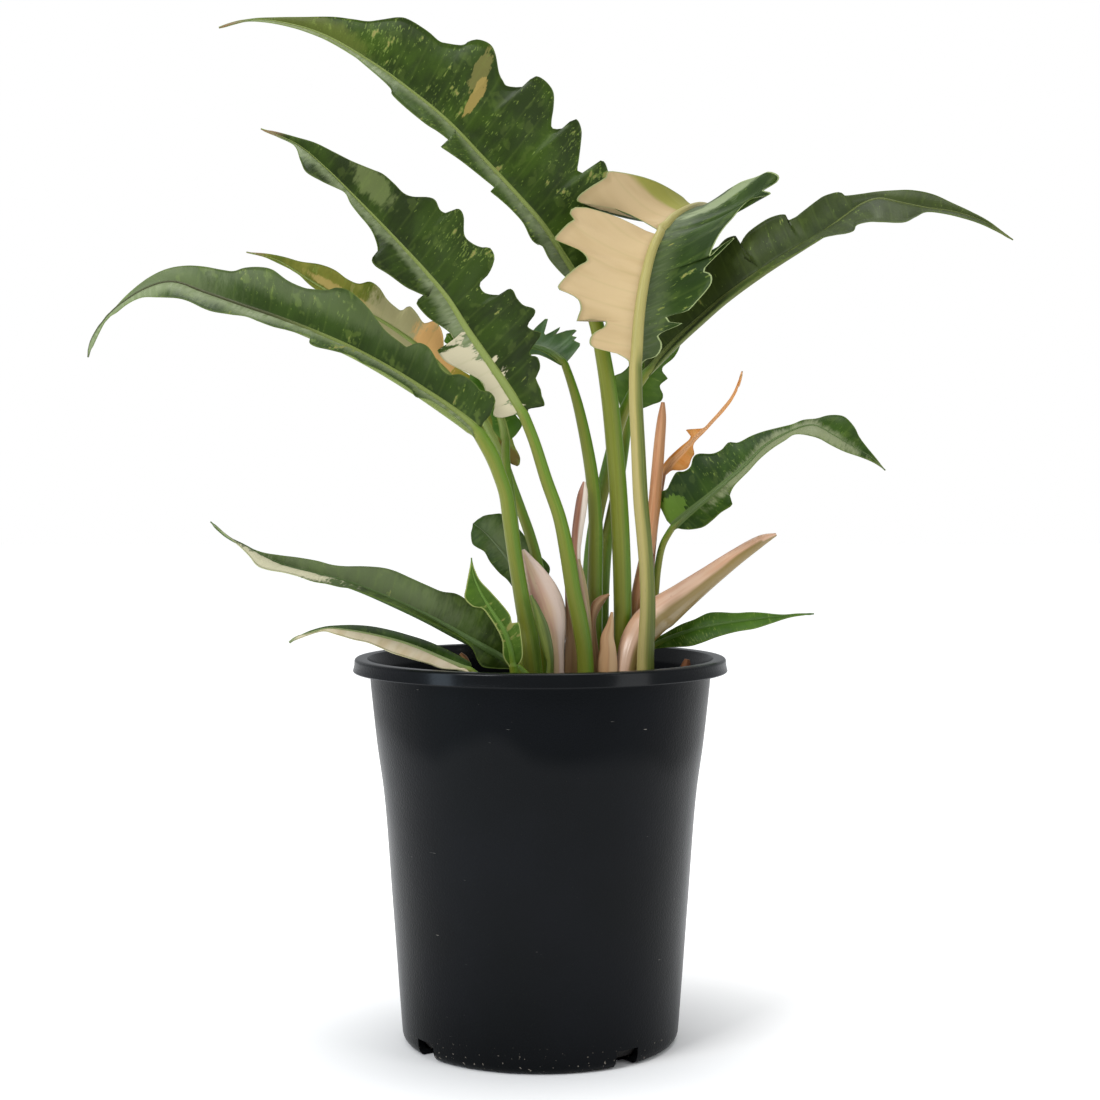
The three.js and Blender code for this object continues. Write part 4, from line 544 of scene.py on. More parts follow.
def edge_shares(edge, rib_seen, rib_shares):
    """Share of the rib's length nearest to each edge point, kept in rising order."""
    shares = []
    low = SHARE_STEP
    for n, point in enumerate(edge):
        share = point[2] if len(point) > 2 else low
        if len(point) == 2:
            best = math.inf
            for (u, v, _), s in zip(rib_seen, rib_shares):
                far = math.hypot(u - point[0], v - point[1])
                if far < best and s >= low - SHARE_SLACK:
                    best = far
                    share = s
        room = LAST_SHARE - (len(edge) - 1 - n) * SHARE_STEP
        share = min(max(share, low), room)
        shares.append(share)
        low = share + SHARE_STEP
    return shares


def edge_at(edge, shares, share):
    """Point of an edge at a share of the rib's length."""
    i = 0
    while i < len(shares) - 2 and shares[i + 1] < share:
        i += 1
    f = (share - shares[i]) / (shares[i + 1] - shares[i])
    return along([p[:2] for p in edge], i + min(max(f, 0), 1))


class Rib:
    """The midrib as seen rows and their shares of its length."""

    def __init__(self, spec):
        rows = [p[:3] for p in spec["rib"]]
        self.rows = [along(rows, i / RIB_STEPS * (len(rows) - 1)) for i in range(RIB_STEPS + 1)]
        points = [seen(*row) for row in self.rows]
        lengths = [0.0]
        for a, b in zip(points, points[1:]):
            lengths.append(lengths[-1] + (b - a).length)
        self.length = lengths[-1]
        self.shares = [n / self.length for n in lengths]

    def at(self, share):
        share = min(max(share, 0), 1)
        low, high = 0, len(self.shares) - 1
        while high - low > 1:
            middle = (low + high) // 2
            if self.shares[middle] <= share:
                low = middle
            else:
                high = middle
        f = (share - self.shares[low]) / (self.shares[high] - self.shares[low])
        return [a + (b - a) * min(f, 1) for a, b in zip(self.rows[low], self.rows[high])]


Station = namedtuple("Station", "share middle lead radius a b")


def blade_stations(spec, rib):
    """Middle, direction, radius and both edges at even steps along the rib."""
    # both edges run on to the tip
    sides = {}
    for key in ("a", "b"):
        shares = edge_shares(spec[key], rib.rows, rib.shares)
        sides[key] = ([*spec[key], rib.rows[-1][:2]], [*shares, 1.0])
    count = min(MOST_STATIONS, max(FEWEST_STATIONS, round(rib.length / STATION)))
    radius = spec["rib"][0][3]
    stations = []
    for i in range(count + 1):
        share = i / count
        u, v, y = rib.at(share)
        ahead = seen(*rib.at(share + LEAD_REACH))
        behind = seen(*rib.at(share - LEAD_REACH))
        edges = []
        for key, side in sides.items():
            eu, ev = edge_at(*side, share)
            out = math.hypot(eu - u, ev - v)
            depth = y + out * share_of(spec[key + "_tilt"], share)
            if key + "_reach" in spec:
                depth += share_of(spec[key + "_reach"], share)
            edges.append(seen(eu, ev, depth))
        thin = max(radius * (1 - share) ** 0.8, THINNEST_RIB)
        stations.append(Station(share, seen(u, v, y), (ahead - behind).normalized(), thin, *edges))
    return stations


def blade_section(station, side, grow, turn, run, seed):
    """Across a blade: the normal at its rib, upper and lower points, map positions, rim distances."""
    shut = min((1 - station.share) / TIP_SHARE, 1)
    least = max(station.radius * RIB_COVER, TIP_HALF + min(1 - station.share, TIP_RUN) * TIP_WIDEN)
    outs = []
    for edge, sign in ((station.a, 1), (station.b, -1)):
        stem = side * (sign * least)
        wide = stem.lerp(edge - station.middle, grow * shut)
        if wide.length < least:
            wide = wide.normalized() * least
        outs.append(wide)
    to_a, to_b = outs
    normal_a = (to_a.cross(station.lead) * turn).normalized()
    normal_b = (station.lead.cross(to_b) * turn).normalized()
    normal = normal_a + normal_b
    normal = (normal if normal.length > 0.3 else normal_a.copy()).normalized()
    upper, under, mark, rim = [], [], [], []
    for j in range(-ACROSS, ACROSS + 1):
        t = abs(j) / ACROSS
        to, way = (to_a, normal_a) if j > 0 else (to_b, normal_b)
        if j == 0:
            to, way = Vector(), normal
        way = normal.lerp(way, ease(t * 2.5)).normalized()
        length = to.length
        out = length * t
        phase = (run - out * VEIN_LEAN) / VEIN_GAP
        hump = abs(math.sin(math.pi * phase)) ** 0.6 - 0.6
        quilt = QUILT * hump * ease(out / QUILT_FROM_RIB) * ease((length - out) / QUILT_FROM_EDGE)
        ripple = RIPPLE * noise.noise(Vector((run * 0.05, out * 0.06 * (1 if j > 0 else -1), seed)))
        bulge = length * BLADE_BULGE * math.sin(math.pi * min(t, 1) ** 0.9)
        lift = bulge + quilt + ripple * ease(out / RIPPLE_FROM_RIB)
        half = BLADE_HALF + (EDGE_HALF - BLADE_HALF) * t
        place = station.middle + to * t + way * lift
        upper.append(place + way * half)
        under.append(place - way * half)
        mark.append((run / MAP_SCALE, math.copysign(out, j) / MAP_SCALE))
        rim.append((length - out) / MAP_SCALE)
    return normal, upper, under, mark, rim


def rib_ring(station, side, normal, grow):
    """Ring of the midrib, which stands out less above the blade than below it."""
    drop = station.radius * RIB_SINK * grow
    high = station.radius + (BLADE_HALF + RIB_PROUD - station.radius * RIB_SINK) * grow
    ring = []
    for angle in turns(STALK_SIDES):
        fall = normal * (math.sin(angle) * high - drop)
        ring.append(station.middle + side * (math.cos(angle) * station.radius * RIB_WIDE) + fall)
    return ring


def stalk_rings(spec, first, across, turn):
    """Rings of the stalk from its foot in the mix up to the blade, and their map positions."""
    centres = [[*seen(u, v, y), r] for u, v, y, r in spec["stalk"]]
    foot = centres[0]
    foot[2] = ROOT_TOP
    centres.insert(0, [foot[0], foot[1], ROOT_LOW, foot[3]])
    centres.append([*first.middle, first.radius])
    count = (len(centres) - 1) * STALK_STEPS
    rings, marks = [], []
    run = 0
    previous = first.middle
    for i in reversed(range(count)):
        at = i / STALK_STEPS
        x, y, z, r = along(centres, at) if at > 1 else [
            a + (b - a) * at for a, b in zip(centres[0], centres[1])]
        centre = Vector((x, y, z))
        lead = (previous - centre).normalized()
        if at <= 1:
            lead = Vector((0, 0, 1))
        run -= (previous - centre).length
        previous = centre
        across = flat_to(across, lead).normalized()
        up = across.cross(lead) * turn
        ring = []
        for angle in turns(STALK_SIDES):
            channel = ease(1 - abs(angle - math.pi / 2) * CHANNEL_NARROW)
            dent = 1 - CHANNEL_DEPTH * channel * ease(at - 1)
            ring.append(centre + (across * math.cos(angle) + up * math.sin(angle)) * r * dent)
        rings.append(ring)
        marks.append(ring_marks(run, STALK_SIDES))
    rings.reverse()
    marks.reverse()
    return rings, marks


def close_blade(body, marks, inward):
    """Narrow faces round the edge of a blade whose upper and lower sides come first in the body."""
    wide = len(marks[0])
    count = len(marks)
    under = count * wide
    for i in range(count - 1):
        for j in (0, wide - 1):
            p, q = i * wide + j, (i + 1) * wide + j
            body.wall([p, q, q + under, p + under], marks[i][j], 0, flip=(j == 0) != inward)
    for i in (0, count - 1):
        ends = [i * wide + j for j in range(wide)]
        body.wall(ends + [n + under for n in reversed(ends)], marks[i][0], 0, flip=(i == 0) == inward)


def leaf_body(spec):
    """One leaf: stalk and midrib as a round run, and a thin blade with two sides."""
    rib = Rib(spec)
    stations = blade_stations(spec, rib)
    third = stations[len(stations) // 3]
    facing = (third.a - third.b).cross(third.lead)
    turn = (1 if facing.y < 0 else -1) * (-1 if spec.get("back") else 1)

    width = Vector()
    for s in stations[2:12]:
        width += (s.a - s.b).normalized()
    first = stations[0]
    side = flat_to(width, first.lead).normalized()
    tube, tube_marks = stalk_rings(spec, first, side, turn)
    top, low, marks, rims = [], [], [], []
    seed = sum(map(ord, str(spec["rib"][0]))) % 97
    for station in stations:
        side = flat_to(side, station.lead).normalized()
        grow = min(station.share / START_SHARE, 1)
        run = station.share * rib.length
        normal, *parts = blade_section(station, side, grow, turn, run, seed)
        for rows, part in zip((top, low, marks, rims), parts):
            rows.append(part)
        tube.append(rib_ring(station, side, normal, grow))
        tube_marks.append(ring_marks(run, STALK_SIDES))

    body = Body()
    inward = turn > 0
    body.grid(top, marks, rims, 0, flip=inward)
    body.grid(low, marks, rims, 1, flip=not inward)
    close_blade(body, marks, inward)
    # the stalk and midrib lie away from any rim
    away = [[NO_RIM] * STALK_SIDES] * len(tube)
    start = body.grid(tube, tube_marks, away, 2, closed=True, flip=inward)
    body.cap(start, STALK_SIDES, 2, flip=not inward)
    body.cap(start + STALK_SIDES * (len(tube) - 1), STALK_SIDES, 2, flip=inward)
    return body


# Shader expressions


class Wire:
    """A node socket, or a number, that plain arithmetic can be written with."""

    def __init__(self, shop, value):
        self.shop = shop
        self.value = value

    def math(self, operation, *others):
        values = dict(enumerate([self.value, *(o.value if isinstance(o, Wire) else o for o in others)]))
        return self.shop.node("ShaderNodeMath", {"operation": operation}, values)

    def __add__(self, other):
        return self.math("ADD", other)

    def __sub__(self, other):
        return self.math("SUBTRACT", other)

    def __mul__(self, other):
        return self.math("MULTIPLY", other)

    def __truediv__(self, other):
        return self.math("DIVIDE", other)

    def __rsub__(self, other):
        return Wire(self.shop, other).math("SUBTRACT", self)

    __radd__ = __add__

    def power(self, n):
        return self.math("POWER", n)

    def size(self):
        return self.math("ABSOLUTE")

    def step(self, low, high):
        """0 below low, 1 above high, smooth between; turned round when low is the larger."""
        ends = {0: self.value, 1: low, 2: high, 3: 0.0, 4: 1.0}
        if low > high:
            ends.update({1: high, 2: low, 3: 1.0, 4: 0.0})
        return self.shop.node("ShaderNodeMapRange", {"interpolation_type": "SMOOTHSTEP"}, ends)


class Finish:
    """One material and the tools to mix its colours and patterns."""

    def __init__(self, name):
        self.material = bpy.data.materials.new(name)
        self.material.use_nodes = True
        self.tree = self.material.node_tree
        self.shader = self.tree.nodes["Principled BSDF"]

    def node(self, kind, settings=None, values=None, output=0):
        made = self.tree.nodes.new(kind)
        for key, value in (settings or {}).items():
            setattr(made, key, value)
        for key, value in (values or {}).items():
            self.feed(made.inputs[key], value)
        return Wire(self, made.outputs[output])

    def feed(self, socket, value):
        """Link a socket to an expression, or set it to a plain value."""
        value = value.value if isinstance(value, Wire) else value
        if isinstance(value, bpy.types.NodeSocket):
            self.tree.links.new(value, socket)
        else:
            socket.default_value = value

    def mix(self, share, first, second):
        """Second colour over the first by share."""
        ready = [(*c, 1) if isinstance(c, tuple) else c for c in (first, second)]
        return self.node("ShaderNodeMix", {"data_type": "RGBA"},
                         {0: share, 6: ready[0], 7: ready[1]}, output=2)

    def surface(self):
        """Place on the piece's own map: along and out from the rib, in millimetres."""
        uv = self.node("ShaderNodeUVMap", {"uv_map": "surface"})
        x, y = self.axes(uv, 0, 1)
        return x * MAP_SCALE, y * MAP_SCALE

    def round_surface(self):
        """Place on a round run: millimetres along, and the cosine and sine of the turn round it."""
        run, turn = self.surface()
        angle = turn * (2 * math.pi / MAP_SCALE)
        return run, angle.math("COSINE"), angle.math("SINE")

    def axes(self, vector, *which):
        """Chosen parts of a vector: 0 across, 1 back, 2 up."""
        return [self.node("ShaderNodeSeparateXYZ", None, {0: vector}, output=n) for n in which]

    def join(self, x, y, z=0.0):
        return self.node("ShaderNodeCombineXYZ", None, {0: x, 1: y, 2: z})

    def noise(self, vector, detail=2.0, rough=0.5, scale=1.0):
        return self.node("ShaderNodeTexNoise", None, {
            "Vector": vector, "Scale": scale, "Detail": detail, "Roughness": rough})

    def object_place(self, scale=1):
        """Place in the frame, in metres times the scale."""
        place = self.node("ShaderNodeTexCoord", output=3)
        return self.node("ShaderNodeMapping", None, {0: place, 3: (scale, scale, scale)})

    def bump(self, height, depth):
        return self.node("ShaderNodeBump", None, {"Height": height, "Distance": depth, "Strength": 1.0})

    def finish(self, **sockets):
        for key, value in sockets.items():
            name = key.replace("_", " ").title().replace("Ior", "IOR")
            self.feed(self.shader.inputs[name], (*value, 1) if isinstance(value, tuple) else value)
        return self.material


def paint(red, green, blue):
    """Linear colour of a paint value given in 0 to 255."""
    out = []
    for n in (red, green, blue):
        n /= 255
        out.append(n / 12.92 if n < 0.04045 else ((n + 0.055) / 1.055) ** 2.4)
    return tuple(out)


DARK = paint(32, 47, 7)
GREEN = paint(50, 71, 12)
LIGHT_GREEN = paint(108, 128, 56)
CREAM = paint(180, 158, 120)
TAN = paint(132, 124, 70)
GREY_GREEN = paint(112, 124, 88)
OLIVE_RIB = paint(118, 132, 66)
TIP_GREEN = paint(92, 100, 56)
TIP_BROWN = paint(124, 92, 72)


def blade_finish(name, seed, length, base=(DARK, GREEN), fleck=0.5, blotch=0.4, spotted=0.12, patches=(),
                 painted_sheen_side=0, painted_sheen=0.7, painted_sheen_reach=22, cream_side=0, cream=CREAM, cream_end=1.0,
                 rib=OLIVE_RIB, rib_far=None, rib_width=2.6, edge=LIGHT_GREEN, edge_line=0.3,
                 edge_width=0.75, tip=TIP_GREEN, rough=0.45, gloss=0.14):
    """Marbled blade: flecks and ragged blotches that lean with the side veins."""
    f = Finish(name)
    run, out = f.surface()
    share = run / length
    away = out.size()
    lean = run - away * VEIN_LEAN
    side = out * 0.013
    bands = f.noise(f.join(lean * 0.05, away * 0.03, side + seed))
    mottle = f.noise(f.join(lean * 0.3, away * 0.1, side + seed + 5), 3.0, 0.6)
    colour = f.mix((bands * 0.7 + mottle * 0.3).step(0.36, 0.64), base[0], base[1])
    spots = f.noise(f.join(lean * 0.16, away * 0.1, side + seed + 9))
    colour = f.mix(spots.step(0.58, 0.66) * spotted, colour, LIGHT_GREEN)

    # one half painted paler grey-green with streaks, most of all beside the rib: a painted sheen of that half
    if painted_sheen_side:
        streaks = f.noise(f.join(lean * 0.5, away * 0.05, seed + 2), 3.0, 0.6)
        inner = (away + (streaks - 0.5) * 16).step(painted_sheen_reach, painted_sheen_reach * 0.4)
        cover = (out * painted_sheen_side).step(0.4, 1.6) * inner
        painted_sheen_tone = f.mix(streaks.step(0.4, 0.65), GREY_GREEN, paint(140, 150, 116))
        colour = f.mix(cover * painted_sheen, colour, painted_sheen_tone)
    # small flecks in clouds, then blotches with ragged ends
    cloud = f.noise(f.join(lean * 0.03, away * 0.03, side + seed + 7), 1.0)
    dots = f.noise(f.join(lean * 1.1, away * 0.24, side + seed + 3), 2.0, 0.6)
    more = 0.06 * fleck
    colour = f.mix((dots + cloud * 0.3).step(0.88 - more, 0.92 - more) * 0.6, colour, LIGHT_GREEN)
    streak = f.noise(f.join(lean * 0.24, away * 0.075, side + seed), 4.0, 0.62)
    mark = streak + cloud * 0.35
    more = 0.07 * blotch
    colour = f.mix(mark.step(0.86 - more, 0.89 - more) * 0.5, colour, LIGHT_GREEN)
    colour = f.mix(mark.step(0.9 - more, 0.925 - more) * 0.7, colour, TAN)
    for at_run, at_out, run_size, out_size, tint, strength, soft in patches:
        dx = (lean - (at_run * length - abs(at_out) * VEIN_LEAN)) / (run_size * length)
        dy = (out - at_out) / out_size
        far = (dx * dx + dy * dy).power(0.5)
        ragged = far + (streak - 0.5) * (1.8 - soft) + (dots - 0.5) * 0.5
        colour = f.mix(ragged.step(1 + soft * 0.5, 0.88 - soft * 0.5) * strength, colour, tint)

    if cream_side:
        wander = f.noise(f.join(lean * 0.09, away * 0.03, seed + 11), 3.0) - 0.5
        cover = (out * cream_side + wander * 5).step(-0.6, 0.8)
        shade = f.noise(f.join(lean * 0.12, away * 0.02, seed + 4))
        pale_cream = f.mix(shade.step(0.4, 0.7) * 0.5, cream, paint(162, 140, 98))
        # past cream_end the cream turns yellow-green, then back to green
        end = share + wander * 0.02
        pale_cream = f.mix(end.step(cream_end - 0.02, cream_end), pale_cream, paint(140, 138, 66))
        colour = f.mix(cover * end.step(cream_end + 0.12, cream_end + 0.08), colour, pale_cream)

    # side veins, midrib, edge line and tip
    swing = (lean / VEIN_GAP).math("FRACT") - 0.5
    thin = (lean / (VEIN_GAP / 5)).math("FRACT") - 0.5
    colour = f.mix(swing.size().step(0.4, 0.5) * away.step(1.0, 3.0) * VEIN_PALE, colour, LIGHT_GREEN)
    half = (1 - share).power(1.3) * rib_width
    colour = f.mix((away - half).step(0.25, -0.25) * share.step(0.95, 0.6), colour,
                   f.mix(share.step(0.35, 0.55), rib, rib_far or rib))
    rim = f.node("ShaderNodeAttribute", {"attribute_name": "rim"}, output=2) * MAP_SCALE
    colour = f.mix(rim.step(edge_width, edge_width * 0.5) * edge_line, colour, edge)
    colour = f.mix(share.step(0.93, 0.985), colour, tip)

    height = swing.size() * 0.09 + thin.size() * 0.03 + mottle * 0.2
    normal = f.bump(height, 0.0008)
    return f.finish(base_color=colour, roughness=rough + (mottle - 0.5) * 0.12, normal=normal,
                    specular_ior_level=gloss)


def stalk_finish(name, a_side, b_side, ribs, length, seed, dashes):
    """Soft lengthwise streaks, the two sides apart in colour, into the midrib's own colour. On the green
    stalks the two sides stand for light: a painted yellow-green highlight on one, painted darker shade on the
    other.
    """
    f = Finish(name)
    run, c, s = f.round_surface()
    fine = f.noise(f.join(c * 5, s * 5, run * 0.012 + seed), 3.0, 0.6)
    broad = f.noise(f.join(c * 1.5, s * 1.5, run * 0.015 + seed))
    # on the green stalks one side is a painted highlight and the other painted shade
    colour = f.mix((c * 0.7 + broad).step(0.0, 0.75), b_side, a_side)
    colour = f.mix(fine.step(0.45, 0.75) * 0.22, colour, paint(140, 150, 62))
    dash = f.noise(f.join(c * 9, s * 9, run * 0.11 + seed))
    colour = f.mix(dash.step(0.68, 0.72) * dashes, colour, paint(60, 84, 28))
    colour = f.mix(run.step(-4.0, 12.0), colour, f.mix(run.step(length * 0.35, length * 0.55), *ribs))
    normal = f.bump(fine, 0.0003)
    return f.finish(base_color=colour, roughness=0.38, normal=normal, specular_ior_level=0.3)


def sheath_finish(name, light, deep, low, sheen):
    """Papery sheath: soft long streaks, and its side towards +x, the lower side on the leaning one, in a
    colour of its own: deeper on most sheaths, a painted highlight on the small spear and a paler pink, partly
    painted highlight on the front one.
    """
    f = Finish(name)
    run, c, s = f.round_surface()
    fine = f.noise(f.join(c * 4, s * 4, run * 0.012), 3.0, 0.6)
    broad = f.noise(f.join(c * 0.9, s * 0.9, run * 0.025))
    colour = f.mix((fine * 0.35 + broad * 0.65).step(0.4, 0.6), light, deep)
    # the side towards +x takes the third colour, on two sheaths a painted highlight
    colour = f.mix((c * 1.2 + broad - 0.5).step(-0.1, 0.4) * 0.9, colour, low)
    spots = f.noise(f.join(c * 4, s * 4, run * 0.25), 1.0)
    colour = f.mix(spots.step(0.72, 0.78) * 0.3, colour, paint(140, 90, 66))
    normal = f.bump(fine, 0.0003)
    return f.finish(base_color=colour, roughness=0.3, normal=normal, specular_ior_level=sheen)


# Sheaths


def sheath_body(outline):
    """One sheath: flattened rings from its foot in the mix to its tip."""
    rows = [[*seen(u, v, y), half, thick] for u, v, y, half, thick in outline]
    first = rows[0]
    first[2] = ROOT_TOP
    rows.insert(0, [first[0], first[1], ROOT_LOW, first[3], first[4]])
    rings, marks = [], []
    count = (len(rows) - 1) * SHEATH_STEPS
    previous = None
    run = 0
    for i in range(count + 1):
        at = i / SHEATH_STEPS
        x, y, z, w, d = along(rows, at)
        nx, ny, nz = along(rows, at + 0.1)[:3]
        px, py, pz = along(rows, at - 0.1)[:3]
        lead = Vector((nx - px, ny - py, nz - pz)).normalized()
        if at <= 1:
            lead = Vector((0, 0, 1))
        centre = Vector((x, y, z))
        across = flat_to(Vector((1, 0, 0)), lead)
        if across.length < 0.5:
            across = flat_to(Vector((0, 0, -1)), lead)
        across.normalize()
        away = lead.cross(across)
        run += (centre - previous).length if previous else 0
        previous = centre
        ring = []
        for angle in turns(SHEATH_SIDES):
            ring.append(centre + across * (w * math.cos(angle)) + away * (d * math.sin(angle)))
        rings.append(ring)
        marks.append(ring_marks(run, SHEATH_SIDES))
    body = Body()
    rims = [[0.0] * SHEATH_SIDES] * len(rings)
    start = body.grid(rings, marks, rims, 0, closed=True)
    body.cap(start, SHEATH_SIDES, 0, flip=True)
    body.cap(start + SHEATH_SIDES * (len(rings) - 1), SHEATH_SIDES, 0)
    return body


# Pot


def inner_radius(height):
    """Radius of the pot's inner wall at a height."""
    i = 0
    while i < len(WALL_ROWS) - 2 and WALL_ROWS[i + 1][0] < height:
        i += 1
    (z0, r0), (z1, r1) = WALL_ROWS[i], WALL_ROWS[i + 1]
    return r0 + (r1 - r0) * (height - z0) / (z1 - z0) - WALL


def turned(name, profile, sides):
    """Closed shape turned round the upright axis from [radius, height] rows that start and end on it."""
    points = [Vector((0, 0, profile[0][1]))]
    rings = profile[1:-1]
    for r, z in rings:
        for angle in turns(sides):
            points.append(Vector((r * math.cos(angle), r * math.sin(angle), z)))
    points.append(Vector((0, 0, profile[-1][1])))
    last = len(points) - 1
    faces = []
    for k in range(sides):
        j = (k + 1) % sides
        faces.append([0, 1 + j, 1 + k])
        for i in range(len(rings) - 1):
            a, b = 1 + i * sides, 1 + (i + 1) * sides
            faces.append([a + k, a + j, b + j, b + k])
        a = 1 + (len(rings) - 1) * sides
        faces.append([a + k, a + j, last])
    return piece_of(name, points, faces)


def pot_profile():
    foot = [(0, 0), (FOOT_RADIUS - 6, 0)]
    for i in range(7):
        angle = i / 6 * math.pi / 2
        foot.append((FOOT_RADIUS - 2 + 4.0 * math.sin(angle), 6 * (1 - math.cos(angle))))
    rows = [list(row) for row in WALL_ROWS]
    wall = []
    for i in range(1, 41):
        z, r = along(rows, i / 40 * (len(rows) - 1))
        wall.append((r, z))
    lip_low = POT_HEIGHT - LIP_DEPTH
    top_low = POT_HEIGHT - LIP_WALL
    lip = [
        (NECK_RADIUS + 0.1, top_low - 4), (NECK_RADIUS + 0.5, top_low - 2), (NECK_RADIUS + 1.8, top_low),
        (RIM_RADIUS - LIP_WALL, top_low), (LIP_RADIUS - LIP_WALL, lip_low + 0.3), (LIP_RADIUS - 1.4, lip_low),
        (LIP_RADIUS - 0.3, lip_low), (LIP_RADIUS, lip_low + 0.5), (RIM_RADIUS + 0.1, top_low - 2),
    ]
    for i in range(6):
        angle = i / 5 * math.pi / 2
        lip.append((RIM_RADIUS - LIP_ROUND + LIP_ROUND * math.cos(angle),
                    POT_HEIGHT - LIP_ROUND + LIP_ROUND * math.sin(angle)))
    lip += [(MOUTH_RADIUS + 1.2, POT_HEIGHT), (MOUTH_RADIUS + 0.3, POT_HEIGHT - 0.3),
            (MOUTH_RADIUS, POT_HEIGHT - 1), (NECK_RADIUS - WALL + 0.6, POT_HEIGHT - 5)]
    inside = [(r - WALL, max(z, FLOOR + 4)) for r, z in reversed(wall)]
    return foot + wall + lip + inside + [(inner_radius(7) - 3, FLOOR), (0, FLOOR)]


def pot_finish():
    f = Finish("black_moulded_plastic")
    place = f.object_place(1 / MM)
    x, y, z = f.axes(place, 0, 1, 2)
    cloud = f.noise(place, 3.0, scale=0.018)
    grain = f.noise(place, scale=0.9)
    colour = f.mix(cloud.step(0.35, 0.7), paint(4, 5, 6), paint(7, 8, 11))
    # dry dust in thin level scratches and a few crumbs near the foot
    scratch = f.noise(f.join(x * 0.12, y * 0.12, z * 1.1))
    where = f.noise(place, 1.0, scale=0.05)
    dust = scratch.step(0.74, 0.78) * where.step(0.56, 0.66)
    colour = f.mix(dust * 0.55, colour, paint(150, 146, 138))
    crumbs = f.noise(place, 1.0, scale=0.55)
    low = z.step(16.0, 2.0)
    colour = f.mix(crumbs.step(0.7, 0.74) * low * 0.6, colour, paint(140, 132, 120))
    rough = 0.26 + cloud * 0.14 + dust * 0.3
    normal = f.bump(grain * 0.25 + cloud, 0.0006)
    # the wall's coat is taken away in a wavy band under the rim, a painted shade of the rim, and the rim is
    # the shiniest
    drift = f.noise(f.join(x * 0.012, y * 0.012, z * 0.004))
    painted_rim_shade = (z + (drift - 0.5) * 90).step(158.0, 172.0)
    shine = painted_rim_shade * -0.08 + 0.1 + z.step(196.0, 198.0) * 0.2
    return f.finish(base_color=colour, roughness=rough, normal=normal, specular_ior_level=0.05,
                    specular_tint=(0.8, 0.9, 1), coat_weight=shine, coat_roughness=0.16,
                    coat_tint=(0.85, 0.93, 1))


def make_pot():
    pot = turned("pot_body", pot_profile(), POT_SIDES)
    cutter_points, cutter_faces = [], []
    for degrees in NOTCH_TURNS:
        c, s = math.cos(math.radians(degrees)), math.sin(math.radians(degrees))
        start = len(cutter_points)
        for z in (-1.0, NOTCH_TOP):
            for side, deep in ((-1, -1), (1, -1), (1, 1), (-1, 1)):
                x = side * NOTCH_HALF
                y = deep * NOTCH_DEEP - FOOT_RADIUS
                cutter_points.append(Vector((x * c - y * s, x * s + y * c, z)))
        for face in ((3, 2, 1, 0), (4, 5, 6, 7), (0, 1, 5, 4), (1, 2, 6, 5), (2, 3, 7, 6), (3, 0, 4, 7)):
            cutter_faces.append([start + n for n in face])
    cutter = piece_of("notch_cutter", cutter_points, cutter_faces, smooth=False)
    cut = pot.modifiers.new("notches", "BOOLEAN")
    cut.object = cutter
    cut.solver = "EXACT"
    apply_modifiers(pot)
    bpy.data.objects.remove(cutter)
    pot.data.materials.append(pot_finish())
    soften(pot, POT_CREASE)
    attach(pot, "root")
    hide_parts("pot")


def apply_modifiers(piece):
    """Keep the finished mesh and drop the modifiers that made it."""
    ready = piece.evaluated_get(bpy.context.evaluated_depsgraph_get())
    mesh = bpy.data.meshes.new_from_object(ready)
    piece.modifiers.clear()
    piece.data = mesh


def soften(piece, degrees):
    """Smooth faces with crisp edges past an angle."""
    mesh = piece.data
    mesh.polygons.foreach_set("use_smooth", [True] * len(mesh.polygons))
    mesh.set_sharp_from_angle(angle=math.radians(degrees))


# Potting mix


def soil_rise(x, y):
    """Broad humps of the top of the mix."""
    return 1.3 * math.sin(x * 0.21 + 1) * math.cos(y * 0.17) + 0.7 * math.sin(x * 0.53 - y * 0.41)


def mix_finish():
    f = Finish("bark_and_peat")
    place = f.object_place(1 / MM)
    lumps = f.noise(place, 4.0, 0.6, scale=0.35)
    tone = f.noise(place, scale=0.12)
    colour = f.mix(lumps.step(0.35, 0.65), paint(30, 22, 17), paint(72, 52, 38))
    colour = f.mix(tone.step(0.55, 0.7) * 0.6, colour, paint(96, 68, 46))
    height, = f.axes(place, 2)
    # painted shade: the mix darkens to near black from 150 mm down to 60 mm, deep in the pot where it shows
    # through the notches
    colour = f.mix(height.step(150.0, 60.0), colour, paint(12, 9, 7))
    normal = f.bump(lumps, 0.002)
    return f.finish(base_color=colour, roughness=0.88, normal=normal)


def crumb_finish(name, dark, light):
    f = Finish(name)
    place = f.object_place(1 / MM)
    tone = f.noise(place, 3.0, scale=0.16)
    colour = f.mix(tone.step(0.35, 0.65), dark, light)
    return f.finish(base_color=colour, roughness=0.85)


